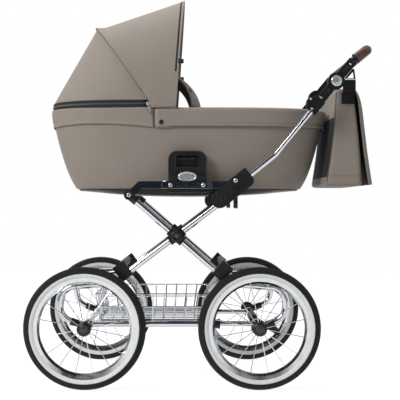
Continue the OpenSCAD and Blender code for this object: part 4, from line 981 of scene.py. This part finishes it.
# The apron buttons over the tub's foot end: a crowned canvas top with a skirt that hangs outside the
# tub, hemmed along its edge with a darker thread and cut away under the hood.
canvas_thread, _, _ = mottled("taupe_sewing_thread", 0.002, 1.0, ("665d56", "776d64"), 0.6)
apron_start, flap_start, ease_end, open_half = -0.052, 0.083, 0.26, 0.1905
wrap_half = 0.165


def flap_wrap(y):
    """How far the wind flap's foot, and the apron's edge under it, comes forward at its sides."""
    return 0.030 * (min(abs(y), wrap_half) / wrap_half) ** 2


rows = [tub_ring(min(z, tub_rim), inset, z, 240) for inset, z in (
    (0.2049, 0.8286), (0.19, 0.8285), (0.15, 0.8283), (0.11, 0.8278), (0.07, 0.827), (0.04, 0.8255),
    (0.02, 0.8235), (0.008, 0.8215), (0.001, 0.8205), (-0.0040, 0.8178), (-0.0050, 0.812),
    (-0.0050, 0.80), (-0.0048, 0.785), (-0.0048, 0.776), (-0.0056, 0.7752), (-0.0058, 0.7720),
    (-0.0050, 0.768))]
apron = cloth_mesh("apron_cover", rows, closed=True)
pick(apron)
bpy.ops.mesh.remove_doubles(threshold=0.0005)
bpy.ops.object.mode_set(mode="OBJECT")
outward(apron, (0.1, 0, 0.75))
for spot, way, cleared in (((apron_start, 0, 0), (1, 0, 0), True), ((flap_start, 0, 0), (1, 0, 0), False),
                           ((0, open_half, 0), (0, 1, 0), False), ((0, -open_half, 0), (0, 1, 0), False)):
    pick(apron)
    bpy.ops.mesh.bisect(plane_co=spot, plane_no=way, clear_inner=cleared)
pick(apron, lambda c, n: c.x < flap_start and abs(c.y) < open_half)
bpy.ops.mesh.delete(type="FACE")
bpy.ops.object.mode_set(mode="OBJECT")
for point in apron.data.vertices:
    hold = max(0.0, min(1.0, (0.2005 - abs(point.co.y)) / 0.01)) * (point.co.z > 0.815)
    curved = flap_start - hold * flap_wrap(point.co.y)
    fixed = apron_start if point.co.x <= flap_start else ease_end
    if point.co.x < ease_end:
        point.co.x = fixed + (point.co.x - fixed) * (curved - fixed) / (flap_start - fixed)
fit(apron, taupe_canvas, "bassinet")
apron.data.materials.append(charcoal_lining)
apply_modifier(apron, "SOLIDIFY", thickness=0.0025, offset=1, material_offset=1)
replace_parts(apron, "apron")
hem = [p for p in tub_ring(0.7775, -0.0075, count=480) if p.x > apron_start + 0.004]
hem.sort(key=lambda p: math.atan2(p.y, p.x - apron_start + 0.05))
row = stitches("apron_hem_stitch", hem, [Vector((p.x - 0.2, p.y, 0)) for p in hem],
               length=0.0042, gap=0.0024, thick=0.0011)
fit(row, canvas_thread, "bassinet")

# Press studs hold the apron's front corners down and the wind flap's sides. Each is a moulded black
# cap, and the apron's closes on a canvas tab.
stud = round_head("stud_blank", 0.0072, 0.0022)
apron_stud = copied(stud, "apron_stud_left", (-0.0330, -0.2082, 0.7800))
fit_pair(apron_stud, black_nylon, "bassinet")
tab_x, tab_y, tab_low = -0.0290, -0.2066, 0.765
tab = block_blank("apron_tab_left", (tab_x, tab_y, 0.7690), (0.044, 0.0024, 0.0095))
pick(tab, lambda co: co.z < tab_low, "VERT")
bpy.ops.transform.resize(value=(0.94, 1, 1), center_override=(tab_x, tab_y, tab_low))
soften(tab, 0.0009)
fit_pair(tab, taupe_canvas, "bassinet")

# The wind flap is a padded canvas tongue sewn to the apron. It stands up in a curve towards the
# hood, stitched round its border, and folds down on the apron.
flap_radius, flap_low, flap_turn = 0.125, math.radians(6.8), 56.2
flap_centre = Vector((0.085, 0, 0.8320)) - flap_radius * Vector((math.cos(flap_low), 0, math.sin(flap_low)))


def flap_point(t, across, lift=0.0, margin=0.0):
    """A point on the flap: t up its curve from 0 to 1, across from -1 to 1, lifted off its outer face."""
    a = flap_low + math.radians(flap_turn * t)
    wide = 0.1645 - 0.032 * t - 0.02 * max(0.0, (t - 0.8) / 0.2) ** 2 - margin
    r = flap_radius + lift
    y = wide * across
    return flap_centre + Vector((r * math.cos(a) - flap_wrap(y), y, r * math.sin(a) - 0.06 * flap_wrap(y)))


def flap_out(p):
    """The way that the flap faces at a point."""
    return p - Vector((flap_centre.x, p.y, flap_centre.z))


rows = [[flap_point(i / 24, math.sin(math.radians(-90 + 180 * j / 48))) for j in range(49)]
        for i in range(25)]
flap = outward(cloth_mesh("wind_flap_cover", rows), flap_centre)
fit(flap, taupe_canvas, "wind_flap")
apply_modifier(flap, "SOLIDIFY", thickness=0.0046, offset=1)
rounded(flap)
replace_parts(flap, "wind_flap")
border = [(0.04 + 0.88 * i / 30, -1) for i in range(31)]
border += [(0.92, -1 + 2 * i / 40) for i in range(1, 40)]
border += [(0.92 - 0.88 * i / 30, 1) for i in range(31)]
border = [flap_point(t, across, lift=0.0047, margin=0.011) for t, across in border]
row = stitches("flap_border_stitch", border, [flap_out(p) for p in border],
               length=0.0042, gap=0.0024, thick=0.0012)
fit(row, canvas_thread, "wind_flap")
spot = flap_point(0.43, -0.88, 0.0050)
flap_stud = copied(stud, "flap_stud_left", spot, turn=flap_out(spot).to_track_quat("-Y", "Z").to_matrix())
fit_pair(flap_stud, black_nylon, "wind_flap")
bpy.data.objects.remove(stud)

# The bag hangs behind the tub from the handle's pivots: a canvas pouch with straight gussets, stiff
# at its top and slack at its bottom. A band of its face towards the tub takes the charcoal lining as painted
# shade.
bag_top, bag_low = 0.884, 0.594


def bag_ring(t, draw, z=None, count=160):
    """The pouch's outline at a share of its height, drawn in by a distance."""
    slack = 0.004 * math.sin(math.pi * t)
    x0 = 0.4865 - 0.0315 * (1 - t) ** 1.6 + draw
    x1 = 0.5445 + 0.0305 * (1 - t) + slack - draw
    return oblong(x0, x1, 0.172 - draw, bag_low + (bag_top - bag_low) * t if z is None else z, 9, count)


rows = [bag_ring(0, draw, z)
        for draw, z in ((0.030, 0.5905), (0.018, 0.5905), (0.008, 0.5915), (0.0025, 0.5945))]
rows += [bag_ring(t, 0.0)
         for t in (0.03, 0.07, 0.085, 0.09, 0.12, 0.2, 0.3, 0.4, 0.5, 0.6, 0.7, 0.8, 0.9, 0.96)]
rows += [bag_ring(1, draw, z)
         for draw, z in ((0.0015, 0.8785), (0.006, 0.8835), (0.014, 0.8842), (0.024, 0.8842))]
bag = closed_up(cloth_mesh("bag_pouch", rows, closed=True))
fit(bag, taupe_canvas, "bag")
bag.data.materials.append(charcoal_lining)
# Painted shade: faces towards the tub, between 0.617 and 0.8 m high, take the charcoal lining in place of
# the tub's shadow.
for face in bag.data.polygons:
    if face.normal.x < -0.75 and 0.617 < face.center.z < 0.8:
        face.material_index = 1
rounded(bag)
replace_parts(bag, "bag_body")

# Sewn lines on the bag: a piped cord down both edges of each gusset and a stitched seam across its
# foot, where the bottom is set in.
for name, way in (("front", -1), ("rear", 1)):
    line = []
    for i in range(25):
        gusset = [p for p in bag_ring(0.03 + 0.93 * i / 24, -0.0004) if p.y < 0]
        line.append(max(gusset, key=lambda p: way * (p.x - 0.52) * 4 - p.y * 3.2))
    cord = sweep(f"bag_cord_{name}_left", line, round_section(0.0017, 8), up=near_side)
    fit_pair(cord, dark_piping, "bag")
foot_seam = [p + Vector((0, 0, 0.0012)) for p in bag_ring(0.095, -0.0006)
             if p.y < -0.16 and 0.462 < p.x < 0.572]
foot_seam.sort(key=lambda p: p.x)
row = stitches("bag_foot_stitch_left", foot_seam, [near_side] * len(foot_seam),
               length=0.0042, gap=0.0022, thick=0.0012)
fit_pair(row, canvas_thread, "bag")

# The bag's flap is one sheet of canvas that is sewn to the top, falls behind the pouch and swings
# clear of it at its foot. Its sides turn in and its edge is hemmed.
flap_line = [(0.540, 0.8846), (0.5475, 0.8838), (0.5555, 0.8765), (0.5625, 0.8630), (0.5690, 0.8430),
             (0.5735, 0.8150), (0.5770, 0.7800), (0.5815, 0.7450), (0.5860, 0.7050), (0.5915, 0.6650),
             (0.5970, 0.6300), (0.6005, 0.6080), (0.6020, 0.5985), (0.6023, 0.5955)]
rows = []
for i, (x, z) in enumerate(flap_line):
    t = i / (len(flap_line) - 1)
    row = []
    for j in range(65):
        y = -1 + 2 * j / 64
        y = math.copysign(1 - (1 - abs(y)) ** 1.5, y)
        turn_in = max(0.0, (abs(y) - 0.93) / 0.07) ** 2 * 0.012 * min(1.0, t * 3)
        slack = 0.0015 * math.cos(y * 9) * t
        row.append(Vector((x - turn_in + slack, 0.1715 * y, z)))
    rows.append(row)
bag_flap = lined(cloth_mesh("bag_flap", rows), 0.0022, "bag", (0.45, 0, 0.72), offset=-1)
hem = [Vector((0.6003, 0.160 * (-1 + 2 * i / 40), 0.6075)) for i in range(41)]
row = stitches("bag_flap_stitch", hem, [Vector((1, 0, 0.25))] * len(hem),
               length=0.0045, gap=0.0025, thick=0.0012)
fit(row, canvas_thread, "bag")

# A rod joins the two ends of each hook's webbing, as on a shoulder strap's buckle. It is chromed
# steel with a turned edge at both ends.
rod = disc_blank("hook_rod_left", 20, 0.0026, 0.036, (0.5235, -0.2094, 0.9070), (0, math.radians(90), 0))
pick(rod, lambda c, n: abs(n.x) > 0.9)
bpy.ops.mesh.inset(thickness=0.0007)
bpy.ops.transform.resize(value=(1.03, 1, 1))
soften(rod, 0.0004, over=40)
fit_pair(rod, chrome, "bag")
